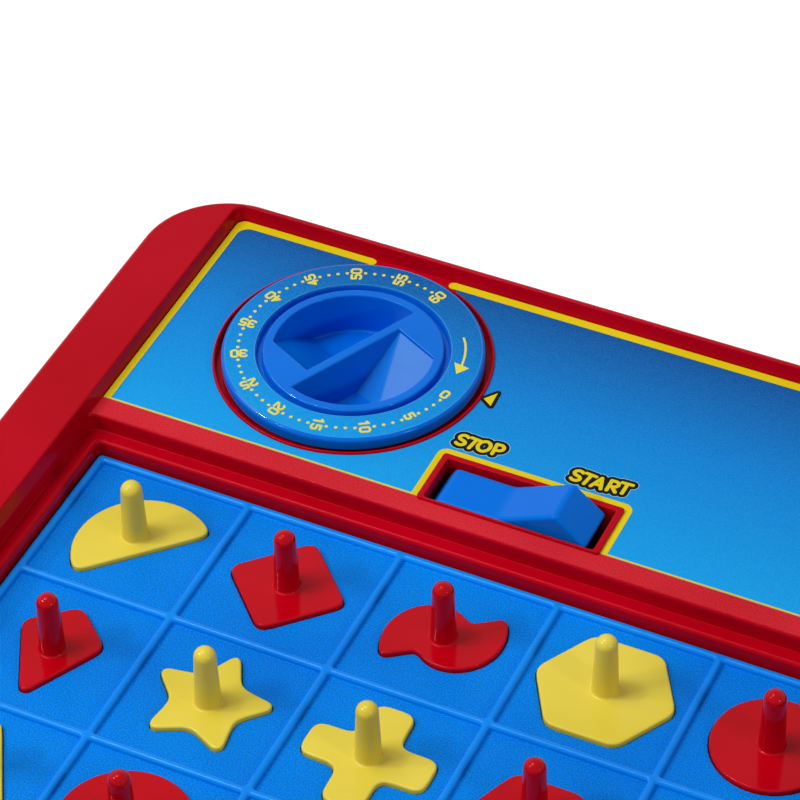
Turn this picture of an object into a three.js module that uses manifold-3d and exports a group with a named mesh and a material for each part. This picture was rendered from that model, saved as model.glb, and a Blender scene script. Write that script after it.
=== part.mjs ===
// Pop-up shape timer game: a red case with a wind-up timer panel behind a blue spring tray.
// Twenty-five pegged shapes drop into matching pockets, and the tray jumps up when the timer runs out.
// Millimetres, +Z up, +Y to the timer panel's side, origin under the middle of the case on the table.
import * as THREE from "three";
import { mergeVertices } from "three/addons/utils/BufferGeometryUtils.js";
import Module from "manifold-3d";

const wasm = await Module();
wasm.setup();

// Shared clearances and cutter overrun
const fitGap = 0.3;
const glueGap = 0.05;
const seamGap = 0.1;
const cutOverrun = 2;

// Tray grid: square cells between raised ridges, one shape in each cell
const gridCount = 5;
const cellPitch = 34;
const ridgeWidth = 1.8;
const ridgeTopWidth = 1.2;
const ridgeHeight = 1.2;
const trayGap = 0.4;
const trayTravel = 14;

// Case heights: the panel stands over the timer movement and its cam, and the rest hangs from the panel
const underDialRoom = 3.1;
const panelDrop = 3.4;
const ledgeDrop = 4;
const trayDrop = 2.8;
const seamHeight = 14;
const floorThickness = 2.4;
const caseWall = 2.4;
const wellWall = 2;
const wellWallFoot = 24;

// Case plan, from the back edge forwards
const backRimWidth = 2.4;
const stripDepth = 5.3;
const ledgeWidth = 3.2;
const flangeWidth = 14.3;
const caseCornerRadius = 18.7;
const pocketCornerRadius = 2;
const rimDraft = 0.8;
const topEdgeRadius = 1.2;
const edgeArcShares = [0, 0.4, 0.7, 1];
const footChamfer = 1.6;
const seamGrooveDepth = 0.8;
const seamGrooveHeight = 1;

// Timer dial: its opening stands in from the label's left, back and front edges
const dialLeftMargin = 12.2;
const dialBackMargin = 0.6;
const dialFrontMargin = 2.2;
const dialRadius = 27.5;
const dialLipWidth = 0.5;
const dialLipRise = 2.6;
const dialLabelSeatRise = 2.1;
const dialLabelThickness = 0.25;
const dialLabelWidth = 6.35;
const dialSkirtDrop = 0.9;
const dialGrooveFromLabel = 0.2;
const dialGrooveWidth = 1.4;
const dialGrooveDepth = 1.4;
const dialDiscRise = 2.4;
const dialCupInset = 0.3;
const dialCupDrop = 9.2;
const dialHubRadius = 5;
const dialHubDrop = 13;
const gripPocketInset = 2;
const gripPocketDepth = 10;
const gripHalfWidthTop = 1.05;
const gripHalfWidthFoot = 2.6;
const gripSlopeTop = 11.3;
const gripSlopeFoot = -1.8;
const gripDirection = 63.4;
const dialWellGap = 0.7;
const dialWellDepth = 1.5;
const dialWellHoleGap = 0.6;
const dialBeadWidth = 1.2;
const dialBeadRise = 0.6;

// STOP and START rocker, placed from the dial's centre and the panel's front edge
const rockerFromDialX = 49.2;
const rockerFromPanelFront = 5.85;
const slotLength = 36.7;
const slotWidth = 11.9;
const slotLipWidth = 1.4;
const slotLipRise = 0.8;
const slotCornerRadius = 1;
const rockerPivotDrop = 11.6;
const rockerTilt = 11.65;
const rockerWidth = 9.6;
const rockerFaceLength = 12.4;
const rockerValleyRise = 0.76;
const rockerEndAngle = 49.3;
const rockerEndLength = 9.6;
const rockerHubRadius = 4;
const rockerLegLength = 14.5;
const rockerLegWidth = 2.4;
const rockerLegDepth = 3;
const rockerPinRadius = 1.5;
const rockerEarThickness = 1.8;
const rockerEarWidth = 8;
const rockerEarFoot = 2.9;
const rockerEarGap = 0.6;

// Label sheet on the panel
const labelThickness = 0.4;
const labelHoleGap = 0.4;

// Pop-up tray
const trayFloorThickness = 5.4;
const traySkirtWall = 2;
const traySkirtFoot = 22;
const trayCornerRadius = 1.2;
const legWidth = 8;
const legThickness = 2;
const footReach = 3;
const footHeight = 2;
const catchFoot = 7.7;

// Tray springs and the posts that keep them in line
const springFromCentre = 60;
const springWire = 1.2;
const springMeanRadius = 4.4;
const springTurns = 5;
const springStepsPerTurn = 8;
const springWireSides = 5;
const springPostRadius = 2.6;
const lowerPostHeight = 8;
const upperPostHeight = 6;
const leastCoilGap = 0.4;

// Shape pieces
const pocketDepth = 3.2;
const pieceProud = 1;
const pieceReach = 14.2;
const pieceCornerRadius = 1.9;
const pegFootRadius = 2.95;
const pegTopRadius = 2.3;
const pegHeight = 14.5;
const pegSides = 10;
const pegDomeAngle = 55;

// Case screws and their bosses
const screwFromSide = 8.3;
const screwFromEnd = 19.7;
const screwHeadRadius = 2.8;
const screwHeadHeight = 2;
const screwShankRadius = 1.3;
const screwLength = 18;
const screwSeat = 4;
const bossWall = 1.2;
const upperBossRadius = 3.4;
const dialSides = 36;
const roundSides = 16;
const pinSides = 12;
const holeSides = 10;
const smallPinSides = 8;

// Timer movement under the panel: plates, wheels and levers, stacked with one running gap or more between
const plateThickness = 1.2;
const movementRise = 4.6;
const levelGap = 0.5;
const plateLeftReach = 22.5;
const plateRightReach = 61.5;
const plateFrontReach = 17.9;
const plateBackReach = 24.1;
const plateCornerRadius = 3;
const pillarRadius = 3;
const pillarInset = 3;
const arborRadius = 0.9;
const arborTail = 1.2;
const shaftRadius = 2.5;
const shaftTail = 1.5;
const shaftCollarRadius = 4;
const shaftCollarHeight = 0.7;
const hubBossTail = 0.8;

const gearModule = 0.8;
const driveTeeth = 48;
const wheelTeeth = 40;
const pinionTeeth = 8;
const wheelModule = 0.7;
const driveGearRise = 2.3;
const driveGearThickness = 2;
const wheelRise = 1;
const wheelThickness = 1.5;
const pinionOverlap = 0.4;
const toothBacklash = 0.3;
const addendumShare = 0.85;
const dedendumShare = 1.25;
const toothRootShare = 1.3;
const toothTipShare = 0.42;
const secondArborAngle = -20;
const escapeArborAngle = -8;

const escapeTeeth = 15;
const escapeRadius = 10;
const escapeRootRadius = 7.6;
const escapeTipShare = 1 / 12;
const escapeRise = 1.6;
const escapeThickness = 1.2;
const palletFromEscape = 16;
const palletSpread = 28;
const palletPinRadius = 0.6;
const palletPlateThickness = 1.2;
const palletHeadroom = 1.4;
const leverHubRadius = 2.2;

const brakeArmLength = 12;
const brakeArmWidth = 2.4;
const brakeArmThickness = 1.4;

const mainspringRise = 1.4;
const mainspringHeight = 2.6;
const mainspringThickness = 0.8;
const mainspringInnerRadius = 3.6;
const mainspringTurns = 5;
const mainspringPitch = 2.2;
const mainspringSteps = 16;

const camInnerRadius = 6;
const camOuterRadius = 11;
const camDiscThickness = 1.2;
const camLeastRise = 0.05;
const camRise = 3.75;
const dialTurn = 292.8;
const camMargin = 8;
const camSteps = 18;

const latchPivotDrop = 4.7;
const latchPivotFromWell = 3.4;
const latchWidth = 5;
const latchArmThickness = 2;
const latchHubRadius = 2.4;
const latchPinRadius = 1;
const latchNoseHeight = 2.2;
const latchNoseReach = 1.25;
const latchEarThickness = 1.8;
const latchEarHeight = 4.9;

// Heights worked out from the table up
const basePlateFoot = floorThickness + movementRise;
const shaftFoot = basePlateFoot - shaftTail;
const mainspringFoot = basePlateFoot + plateThickness + mainspringRise;
const wheelFoot = mainspringFoot + mainspringHeight + wheelRise;
const driveGearFoot = wheelFoot + wheelThickness + driveGearRise;
const escapeFoot = driveGearFoot + driveGearThickness + escapeRise;
const palletFoot = escapeFoot + escapeThickness + fitGap * 2;
const topPlateFoot = palletFoot + palletPlateThickness + palletHeadroom;
const camFoot = topPlateFoot + plateThickness + levelGap;
const camTop = camFoot + camDiscThickness + camLeastRise + camRise;
const latchPivotHeight = camTop - latchPivotDrop;
const panelZ = camTop + underDialRoom + dialCupDrop;
const caseHeight = panelZ + panelDrop;
const ledgeZ = panelZ - ledgeDrop;
const ridgeTopZ = ledgeZ - trayDrop;
const cellFloorZ = ridgeTopZ - ridgeHeight;
const trayUnderside = cellFloorZ - trayFloorThickness;

// Places worked out in plan
const dialWellRadius = dialRadius + dialWellGap;
const dialLabelOuterRadius = dialRadius - dialLipWidth - fitGap / 2;
const dialLabelInnerRadius = dialLabelOuterRadius - dialLabelWidth;
const dialGrooveOuterRadius = dialLabelInnerRadius - dialGrooveFromLabel;
const dialDiscRadius = dialGrooveOuterRadius - dialGrooveWidth;
const dialCupRadius = dialDiscRadius - dialCupInset;
const dialWellHoleRadius = dialCupRadius + dialWellHoleGap;
const gripPocketRadius = dialDiscRadius - gripPocketInset;
const dialOpening = dialWellRadius + dialBeadWidth + labelHoleGap;
const panelDepth = dialOpening * 2 + dialBackMargin + dialFrontMargin;
const trayHalf = (gridCount * cellPitch + ridgeWidth) / 2;
const wellHalf = trayHalf + trayGap;
const pocketHalf = wellHalf + ledgeWidth;
const caseHalfX = pocketHalf + flangeWidth;
const caseDepth =
  backRimWidth + panelDepth + stripDepth + ledgeWidth * 2 + wellHalf * 2 + flangeWidth;
const caseHalfY = caseDepth / 2;
const panelBack = caseHalfY - backRimWidth;
const panelFront = panelBack - panelDepth;
const stripFront = panelFront - stripDepth;
const wellBack = stripFront - ledgeWidth;
const trayY = wellBack - wellHalf;
const wellFront = trayY - wellHalf;
const pocketFront = wellFront - ledgeWidth;
const dialX = -pocketHalf + dialLeftMargin + dialOpening;
const dialY = panelBack - dialBackMargin - dialOpening;
const rockerX = dialX + rockerFromDialX;
const rockerY = panelFront + rockerFromPanelFront;
const rockerZ = panelZ - rockerPivotDrop;

const red = { color: 0xb8001c, roughness: 0.28, metalness: 0 };
const trayBlue = { color: 0x0a6fd6, roughness: 0.5, metalness: 0 };
const dialBlue = { color: 0x007ae0, roughness: 0.3, metalness: 0 };
const labelBlue = { color: 0x1478be, roughness: 0.35, metalness: 0 };
const pieceRed = { color: 0xc00018, roughness: 0.3, metalness: 0 };
const pieceYellow = { color: 0xdcca52, roughness: 0.38, metalness: 0 };
const steel = { color: 0xb4b8bd, roughness: 0.3, metalness: 1 };
const brass = { color: 0xc9a24a, roughness: 0.35, metalness: 1 };
const nylon = { color: 0xe8e4da, roughness: 0.5, metalness: 0 };

const radians = THREE.MathUtils.degToRad;
const bluntAngle = radians(72);

// A closed geometry as a solid: vertices are merged and faces that collapsed on an axis are left out.
function solidOf(geometry) {
  const bare = geometry.clone();
  bare.deleteAttribute("normal");
  bare.deleteAttribute("uv");
  const merged = mergeVertices(bare);
  const faces = [];
  for (let i = 0; i < merged.index.count; i += 3) {
    const [a, b, c] = [0, 1, 2].map((k) => merged.index.getX(i + k));
    if (a !== b && b !== c && c !== a) faces.push(a, b, c);
  }
  const vertProperties = merged.attributes.position.array;
  const made = makeSolid(vertProperties, faces);
  if (made.volume() > 0) return made;
  // A profile that is listed the other way round gives an inside-out solid, so its faces are turned.
  return makeSolid(vertProperties, faces.reverse());
}

function makeSolid(vertProperties, faces) {
  const triVerts = new Uint32Array(faces);
  return new wasm.Manifold(new wasm.Mesh({ numProp: 3, vertProperties, triVerts }));
}

function geometryOf(solid) {
  const { numProp, numVert, vertProperties, triVerts } = solid.getMesh();
  const positions = new Float32Array(numVert * 3);
  for (let i = 0; i < numVert; i++) {
    positions.set(vertProperties.subarray(i * numProp, i * numProp + 3), i * 3);
  }
  const indexed = new THREE.BufferGeometry();
  indexed.setAttribute("position", new THREE.BufferAttribute(positions, 3));
  indexed.setIndex(new THREE.BufferAttribute(new Uint32Array(triVerts), 1));
  const flat = indexed.toNonIndexed();
  flat.computeVertexNormals();
  return flat;
}

function union(...solids) {
  return solids.flat().reduce((whole, next) => whole.add(next));
}

function cut(solid, ...cutters) {
  return cutters.flat().reduce((rest, next) => rest.subtract(next), solid);
}

function box(x0, x1, y0, y1, z0, z1) {
  const geometry = new THREE.BoxGeometry(x1 - x0, y1 - y0, z1 - z0);
  geometry.translate((x0 + x1) / 2, (y0 + y1) / 2, (z0 + z1) / 2);
  return solidOf(geometry);
}

function rod(radius, z0, z1, x = 0, y = 0, sides = roundSides) {
  const geometry = new THREE.CylinderGeometry(radius, radius, z1 - z0, sides);
  geometry.rotateX(Math.PI / 2);
  geometry.translate(x, y, (z0 + z1) / 2);
  return solidOf(geometry);
}

// A rod that lies along X or along Y, centred on a point.
function crossRod(radius, length, alongX, x, y, z, sides = roundSides) {
  const geometry = new THREE.CylinderGeometry(radius, radius, length, sides);
  if (alongX) geometry.rotateZ(Math.PI / 2);
  geometry.translate(x, y, z);
  return solidOf(geometry);
}

// A profile of [radius, height] pairs turned about the Z axis.
function turned(profile, sides, x = 0, y = 0) {
  const points = profile.map(([radius, height]) => new THREE.Vector2(radius, height));
  const geometry = new THREE.LatheGeometry(points, sides);
  geometry.rotateX(Math.PI / 2);
  geometry.translate(x, y, 0);
  return solidOf(geometry);
}

function prism(shape, z0, z1, curveSegments = 6) {
  const depth = z1 - z0;
  const geometry = new THREE.ExtrudeGeometry(shape, { depth, bevelEnabled: false, curveSegments });
  geometry.translate(0, 0, z0);
  return solidOf(geometry);
}

// A prism whose outline lies in a vertical plane: its own X, Y and Z run along the three given directions.
function uprightPrism(shape, z0, z1, xAxis, yAxis, zAxis, curveSegments = 6) {
  const depth = z1 - z0;
  const geometry = new THREE.ExtrudeGeometry(shape, { depth, bevelEnabled: false, curveSegments });
  geometry.translate(0, 0, z0);
  geometry.applyMatrix4(new THREE.Matrix4().makeBasis(xAxis, yAxis, zAxis));
  return solidOf(geometry);
}

function polygon(points) {
  return new THREE.Shape(points.map(([x, y]) => new THREE.Vector2(x, y)));
}

// A closed outline with rounded corners; the blunt corners of a many-sided curve stay as they are.
function roundedOutline(points, radius) {
  const shape = new THREE.Shape();
  const corners = points.map(([x, y]) => new THREE.Vector2(x, y));
  corners.forEach((corner, i) => {
    const before = corners[(i + corners.length - 1) % corners.length];
    const after = corners[(i + 1) % corners.length];
    const back = before.clone().sub(corner);
    const ahead = after.clone().sub(corner);
    const halfAngle = Math.abs(back.angleTo(ahead)) / 2;
    if (halfAngle > bluntAngle) {
      if (i === 0) shape.moveTo(corner.x, corner.y);
      else shape.lineTo(corner.x, corner.y);
      return;
    }
    const reach = Math.min(radius / Math.tan(halfAngle), back.length() / 2, ahead.length() / 2);
    const start = corner.clone().addScaledVector(back.normalize(), reach);
    const end = corner.clone().addScaledVector(ahead.normalize(), reach);
    if (i === 0) shape.moveTo(start.x, start.y);
    else shape.lineTo(start.x, start.y);
    shape.quadraticCurveTo(corner.x, corner.y, end.x, end.y);
  });
  shape.closePath();
  return shape;
}

function arcRectangle(x0, x1, y0, y1, radius) {
  const shape = new THREE.Shape();
  shape.absarc(x1 - radius, y0 + radius, radius, -Math.PI / 2, 0);
  shape.absarc(x1 - radius, y1 - radius, radius, 0, Math.PI / 2);
  shape.absarc(x0 + radius, y1 - radius, radius, Math.PI / 2, Math.PI);
  shape.absarc(x0 + radius, y0 + radius, radius, Math.PI, Math.PI * 1.5);
  shape.closePath();
  return shape;
}

// Stacks outlines with the same number of points into one closed skin, with flat ends.
function lofted(layers) {
  const count = layers[0].outline.length;
  const positions = [];
  for (const { outline, z } of layers) {
    for (const point of outline) positions.push(point.x, point.y, z);
  }
  const faces = [];
  for (let layer = 0; layer + 1 < layers.length; layer++) {
    for (let i = 0; i < count; i++) {
      const low = layer * count + i;
      const next = layer * count + ((i + 1) % count);
      faces.push(low, next, next + count, low, next + count, low + count);
    }
  }
  const last = (layers.length - 1) * count;
  for (const [a, b, c] of THREE.ShapeUtils.triangulateShape(layers[0].outline, [])) {
    faces.push(a, c, b);
  }
  for (const [a, b, c] of THREE.ShapeUtils.triangulateShape(layers[layers.length - 1].outline, [])) {
    faces.push(last + a, last + b, last + c);
  }
  const geometry = new THREE.BufferGeometry();
  geometry.setAttribute("position", new THREE.Float32BufferAttribute(positions, 3));
  geometry.setIndex(faces);
  return solidOf(geometry);
}

// A rounded rectangle that changes its inset with height, as a moulded wall with draft and edge rounding does.
function draftedBlock(x0, x1, y0, y1, radius, stages, cornerSteps = 5) {
  const layers = stages.map(([z, inset]) => ({
    z,
    outline: cornerPoints(x0 + inset, x1 - inset, y0 + inset, y1 - inset, radius - inset, cornerSteps),
  }));
  return lofted(layers);
}

function cornerPoints(x0, x1, y0, y1, radius, steps) {
  const centres = [
    [x1 - radius, y0 + radius, -Math.PI / 2],
    [x1 - radius, y1 - radius, 0],
    [x0 + radius, y1 - radius, Math.PI / 2],
    [x0 + radius, y0 + radius, Math.PI],
  ];
  const points = [];
  for (const [cx, cy, start] of centres) {
    for (let i = 0; i <= steps; i++) {
      const angle = start + (Math.PI / 2) * (i / steps);
      points.push(new THREE.Vector2(cx + radius * Math.cos(angle), cy + radius * Math.sin(angle)));
    }
  }
  return points;
}

const root = new THREE.Group();
const materials = new Map();

function materialFor(finish) {
  if (!materials.has(finish)) materials.set(finish, new THREE.MeshStandardMaterial(finish));
  return materials.get(finish);
}

function add(name, solid, finish, x = 0, y = 0, z = 0) {
  const mesh = new THREE.Mesh(geometryOf(solid), materialFor(finish));
  mesh.name = name;
  mesh.position.set(x, y, z);
  root.add(mesh);
  return mesh;
}

// Screw places: three down each side flange.
function screwPlaces() {
  const x = caseHalfX - screwFromSide;
  const y = caseHalfY - screwFromEnd;
  return [-1, 1].flatMap((side) => [-1, 0, 1].map((end) => [side * x, end * y]));
}

function springPlaces() {
  const signs = [-1, 1];
  return signs.flatMap((sx) => signs.map((sy) => [sx * springFromCentre, trayY + sy * springFromCentre]));
}

// Upper case: outer skin, hollow inside, with the panel, the ledge and the tray well hung in it.
function upperCaseSkin() {
  const arc = edgeArcShares.map((share) => {
    const angle = (share * Math.PI) / 2;
    const z = caseHeight - topEdgeRadius * (1 - Math.sin(angle));
    return [z, topEdgeRadius * (1 - Math.cos(angle))];
  });
  const foot = seamHeight + seamGap;
  const stages = [
    [foot, seamGrooveDepth],
    [foot + seamGrooveHeight, seamGrooveDepth],
    [foot + seamGrooveHeight + seamGrooveDepth, 0],
    ...arc,
  ];
  return draftedBlock(-caseHalfX, caseHalfX, -caseHalfY, caseHalfY, caseCornerRadius, stages);
}

function upperCaseHollow() {
  const inner = caseHalfX - caseWall;
  const innerY = caseHalfY - caseWall;
  const stages = [
    [seamHeight - cutOverrun, 0],
    [caseHeight - caseWall, 0],
  ];
  const room = draftedBlock(-inner, inner, -innerY, innerY, caseCornerRadius - caseWall, stages);
  return cut(room, panelStructure(), trayWellTube(), ...upperBosses());
}

// What hangs under the panel and the ledge, kept out of the hollow.
function panelStructure() {
  const top = caseHeight;
  const side = pocketHalf + caseWall;
  const underPanel = panelZ - caseWall;
  const underLedge = ledgeZ - caseWall;
  const panel = box(-side, side, stripFront, caseHalfY, underPanel, top);
  const ledge = box(-side, side, pocketFront - caseWall, stripFront + caseWall, underLedge, top);
  const wellFloor = panelZ - dialWellDepth - caseWall;
  const dialWell = rod(dialWellRadius + caseWall, wellFloor, top, dialX, dialY, dialSides);
  return union(panel, ledge, dialWell, ...rockerEars());
}

function rockerEars() {
  const inner = rockerWidth / 2 + rockerEarGap;
  const outer = inner + rockerEarThickness;
  const half = rockerEarWidth / 2;
  const foot = rockerZ - rockerEarFoot;
  const hole = crossRod(rockerPinRadius + fitGap, rockerWidth * 2, false, rockerX, rockerY, rockerZ);
  const ears = [
    [rockerY - outer, rockerY - inner],
    [rockerY + inner, rockerY + outer],
  ].map(([y0, y1]) => box(rockerX - half, rockerX + half, y0, y1, foot, caseHeight));
  return ears.map((ear) => ear.subtract(hole));
}

function trayWellTube() {
  const outer = wellHalf + wellWall;
  return box(-outer, outer, trayY - outer, trayY + outer, wellWallFoot, caseHeight);
}

function upperBosses() {
  return screwPlaces().map(([x, y]) => rod(upperBossRadius, seamHeight, caseHeight, x, y, holeSides));
}

function upperCaseCuts() {
  const above = caseHeight + cutOverrun;
  const flare = (rimDraft * (cutOverrun + panelDrop)) / panelDrop;
  const pocket = draftedBlock(
    -pocketHalf,
    pocketHalf,
    pocketFront,
    panelBack,
    pocketCornerRadius,
    [
      [panelZ, 0],
      [above, -flare],
    ],
    4,
  );
  const ledgePocket = draftedBlock(
    -pocketHalf,
    pocketHalf,
    pocketFront,
    stripFront,
    pocketCornerRadius,
    [
      [ledgeZ, 0],
      [panelZ + cutOverrun, 0],
    ],
    4,
  );
  const well = box(
    -wellHalf,
    wellHalf,
    wellFront,
    wellBack,
    seamHeight - cutOverrun,
    ledgeZ + cutOverrun,
  );
  const labelSeat = prism(panelOutline(0), panelZ - labelThickness - glueGap, above, 4);
  const shank = screwLength + screwSeat + screwHeadHeight;
  const pilots = screwPlaces().map(([x, y]) =>
    rod(screwShankRadius + fitGap, seamHeight - cutOverrun, shank + fitGap, x, y, holeSides),
  );
  return [pocket, ledgePocket, well, labelSeat, ...pilots];
}

// The panel's outline: rounded at the back corners, square at the front where the strip starts.
function panelOutline(inset) {
  const side = pocketHalf - inset;
  const back = panelBack - inset;
  const radius = pocketCornerRadius;
  const shape = new THREE.Shape();
  shape.moveTo(-side, panelFront);
  shape.lineTo(side, panelFront);
  shape.absarc(side - radius, back - radius, radius, 0, Math.PI / 2);
  shape.absarc(-side + radius, back - radius, radius, Math.PI / 2, Math.PI);
  shape.closePath();
  return shape;
}

function dialWellBead() {
  const outer = dialWellRadius + dialBeadWidth;
  const crown = panelZ + dialBeadRise;
  const shoulder = panelZ + dialBeadRise / 2;
  const foot = panelZ - labelThickness - caseWall;
  const inset = dialBeadWidth / 4;
  const profile = [
    [dialWellRadius, foot],
    [outer, foot],
    [outer, shoulder],
    [outer - inset, crown],
    [dialWellRadius + inset, crown],
    [dialWellRadius, shoulder],
    [dialWellRadius, foot],
  ];
  return turned(profile, dialSides, dialX, dialY);
}

function slotLip() {
  const half = slotLength / 2 + slotLipWidth;
  const halfY = slotWidth / 2 + slotLipWidth;
  const stages = [
    [panelZ - labelThickness - caseWall, 0],
    [panelZ + slotLipRise / 2, 0],
    [panelZ + slotLipRise, slotLipWidth / 4],
  ];
  const radius = slotCornerRadius + slotLipWidth;
  const [x0, x1] = [rockerX - half, rockerX + half];
  return draftedBlock(x0, x1, rockerY - halfY, rockerY + halfY, radius, stages, 3);
}

function panelOpenings() {
  const above = caseHeight + cutOverrun;
  const below = panelZ - rockerPivotDrop / 2;
  const dialPocket = rod(dialWellRadius, panelZ - dialWellDepth, above, dialX, dialY, dialSides);
  const cupHole = rod(dialWellHoleRadius, below, above, dialX, dialY, dialSides);
  const half = slotLength / 2;
  const outline = arcRectangle(
    rockerX - half,
    rockerX + half,
    rockerY - slotWidth / 2,
    rockerY + slotWidth / 2,
    slotCornerRadius,
  );
  return [dialPocket, cupHole, prism(outline, below, above, 3)];
}

// Two ears on the back of the tray well carry the release latch's pin.
function latchEars() {
  const back = wellBack + wellWall;
  const outer = latchY() + latchHubRadius;
  const foot = latchPivotHeight - latchHubRadius;
  const top = foot + latchEarHeight;
  const hole = crossRod(latchPinRadius + fitGap, latchWidth * 4, true, dialX, latchY(), latchPivotHeight);
  return [-1, 1].map((side) => {
    const inner = dialX + side * (latchWidth / 2 + fitGap);
    const far = inner + side * latchEarThickness;
    const ear = box(...sorted(inner, far), back - wellWall / 2, outer, foot, top);
    return ear.subtract(hole);
  });
}

function latchY() {
  return wellBack + wellWall + latchPivotFromWell;
}

// The latch's arm ends over the middle of the cam's ramp.
function latchArmReach() {
  return dialY - latchY() - (camInnerRadius + camOuterRadius) / 2;
}

function upperCase() {
  const shell = cut(upperCaseSkin(), upperCaseHollow());
  const body = cut(shell, ...upperCaseCuts());
  const dressed = union(body, dialWellBead(), slotLip(), ...latchEars());
  return cut(dressed, ...panelOpenings());
}

// Lower case: a shallow tub with screw posts, spring posts and the movement's feet.
function lowerCase() {
  const stages = [
    [0, footChamfer],
    [footChamfer, 0],
    [seamHeight, 0],
  ];
  const skin = draftedBlock(-caseHalfX, caseHalfX, -caseHalfY, caseHalfY, caseCornerRadius, stages);
  const inner = caseHalfX - caseWall;
  const innerY = caseHalfY - caseWall;
  const hollow = draftedBlock(-inner, inner, -innerY, innerY, caseCornerRadius - caseWall, [
    [floorThickness, 0],
    [seamHeight + cutOverrun, 0],
  ]);
  const underFloor = floorThickness / 2;
  const posts = springPlaces().map(([x, y]) =>
    rod(springPostRadius, underFloor, floorThickness + lowerPostHeight, x, y, holeSides),
  );
  const feet = pillarPlaces().map(([x, y]) =>
    rod(pillarRadius, underFloor, basePlateFoot, x, y, holeSides),
  );
  const thrust = rod(shaftCollarRadius, underFloor, shaftFoot - fitGap, dialX, dialY);
  const headRoom = screwHeadRadius + fitGap;
  const bosses = screwPlaces().map(([x, y]) =>
    rod(headRoom + bossWall, underFloor, seamHeight, x, y, holeSides),
  );
  const boreTop = screwSeat + screwHeadHeight;
  const counterbores = screwPlaces().map(([x, y]) => rod(headRoom, -cutOverrun, boreTop, x, y, holeSides));
  const shanks = screwPlaces().map(([x, y]) =>
    rod(screwShankRadius + fitGap, -cutOverrun, seamHeight + cutOverrun, x, y, holeSides),
  );
  return cut(union(cut(skin, hollow), posts, feet, thrust, bosses), counterbores, shanks);
}

function caseScrew() {
  const top = screwSeat + screwHeadHeight - fitGap;
  const profile = [
    [0, screwSeat - fitGap],
    [screwHeadRadius, screwSeat - fitGap],
    [screwHeadRadius, top],
    [screwShankRadius, top],
    [screwShankRadius, top + screwLength - screwShankRadius],
    [0, top + screwLength],
  ];
  return turned(profile, holeSides);
}

// Label sheet with a round hole for the dial and a notch for the rocker, open at its front edge.
function panelLabel() {
  const sheet = prism(panelOutline(fitGap), panelZ - labelThickness, panelZ, 4);
  const [low, high] = [panelZ - cutOverrun, panelZ + cutOverrun];
  const hole = rod(dialOpening, low, high, dialX, dialY, dialSides);
  const halfX = slotLength / 2 + slotLipWidth + fitGap;
  const halfY = slotWidth / 2 + slotLipWidth + fitGap;
  const notchFront = panelFront - cutOverrun;
  const notch = box(rockerX - halfX, rockerX + halfX, notchFront, rockerY + halfY, low, high);
  return cut(sheet, hole, notch);
}

// Dial heights are measured from the panel; the grip ridge runs along the dial's own X axis.
function timerDial() {
  const innerLip = dialRadius - dialLipWidth;
  const groove = dialDiscRise - dialGrooveDepth;
  const profile = [
    [0, -dialHubDrop],
    [dialHubRadius, -dialHubDrop],
    [dialHubRadius, -dialCupDrop],
    [dialCupRadius, -dialCupDrop],
    [dialCupRadius, -dialSkirtDrop],
    [dialRadius, -dialSkirtDrop],
    [dialRadius, dialLipRise - dialLipWidth / 2],
    [dialRadius - dialLipWidth / 2, dialLipRise],
    [innerLip, dialLabelSeatRise],
    [dialGrooveOuterRadius, dialLabelSeatRise],
    [dialGrooveOuterRadius, groove],
    [dialDiscRadius, groove],
    [dialDiscRadius, dialDiscRise - dialLipWidth],
    [dialDiscRadius - dialLipWidth, dialDiscRise],
    [0, dialDiscRise],
  ];
  const body = turned(profile, dialSides);
  const bore = rod(shaftRadius + fitGap, -dialHubDrop - cutOverrun, -dialCupDrop - hubBossTail);
  const pocket = gripPocket();
  const opposite = pocket.rotate([0, 0, 180]);
  return cut(body, bore, pocket, opposite);
}

// One finger pocket: a half disc beside the ridge, with a steep ridge side and one long sloping end.
function gripPocket() {
  const floor = dialDiscRise - gripPocketDepth;
  const far = gripPocketRadius + cutOverrun;
  const above = dialDiscRise + cutOverrun;
  const rise = (above - floor) / gripPocketDepth;
  const topEnd = gripSlopeFoot + (gripSlopeTop - gripSlopeFoot) * rise;
  const topSide = gripHalfWidthFoot + (gripHalfWidthTop - gripHalfWidthFoot) * rise;
  const layers = [
    [floor, -gripSlopeFoot, gripHalfWidthFoot],
    [above, -topEnd, topSide],
  ].map(([z, end, side]) => ({
    z,
    outline: [
      new THREE.Vector2(end, side),
      new THREE.Vector2(far, side),
      new THREE.Vector2(far, far),
      new THREE.Vector2(end, far),
    ],
  }));
  return lofted(layers).intersect(rod(gripPocketRadius, floor, above, 0, 0, dialSides));
}

function dialLabel() {
  const outer = dialLabelOuterRadius;
  const foot = dialLabelSeatRise + glueGap;
  const top = foot + dialLabelThickness;
  const profile = [
    [dialLabelInnerRadius, foot],
    [outer, foot],
    [outer, top],
    [dialLabelInnerRadius, top],
    [dialLabelInnerRadius, foot],
  ];
  return turned(profile, dialSides);
}

function dialShaft() {
  const top = panelZ - dialCupDrop - hubBossTail - fitGap;
  const collar = basePlateFoot + plateThickness + fitGap;
  const profile = [
    [0, shaftFoot],
    [shaftRadius, shaftFoot],
    [shaftRadius, collar],
    [shaftCollarRadius, collar],
    [shaftCollarRadius, collar + shaftCollarHeight],
    [shaftRadius, collar + shaftCollarHeight],
    [shaftRadius, top],
    [0, top],
  ];
  return turned(profile, roundSides);
}

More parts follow.
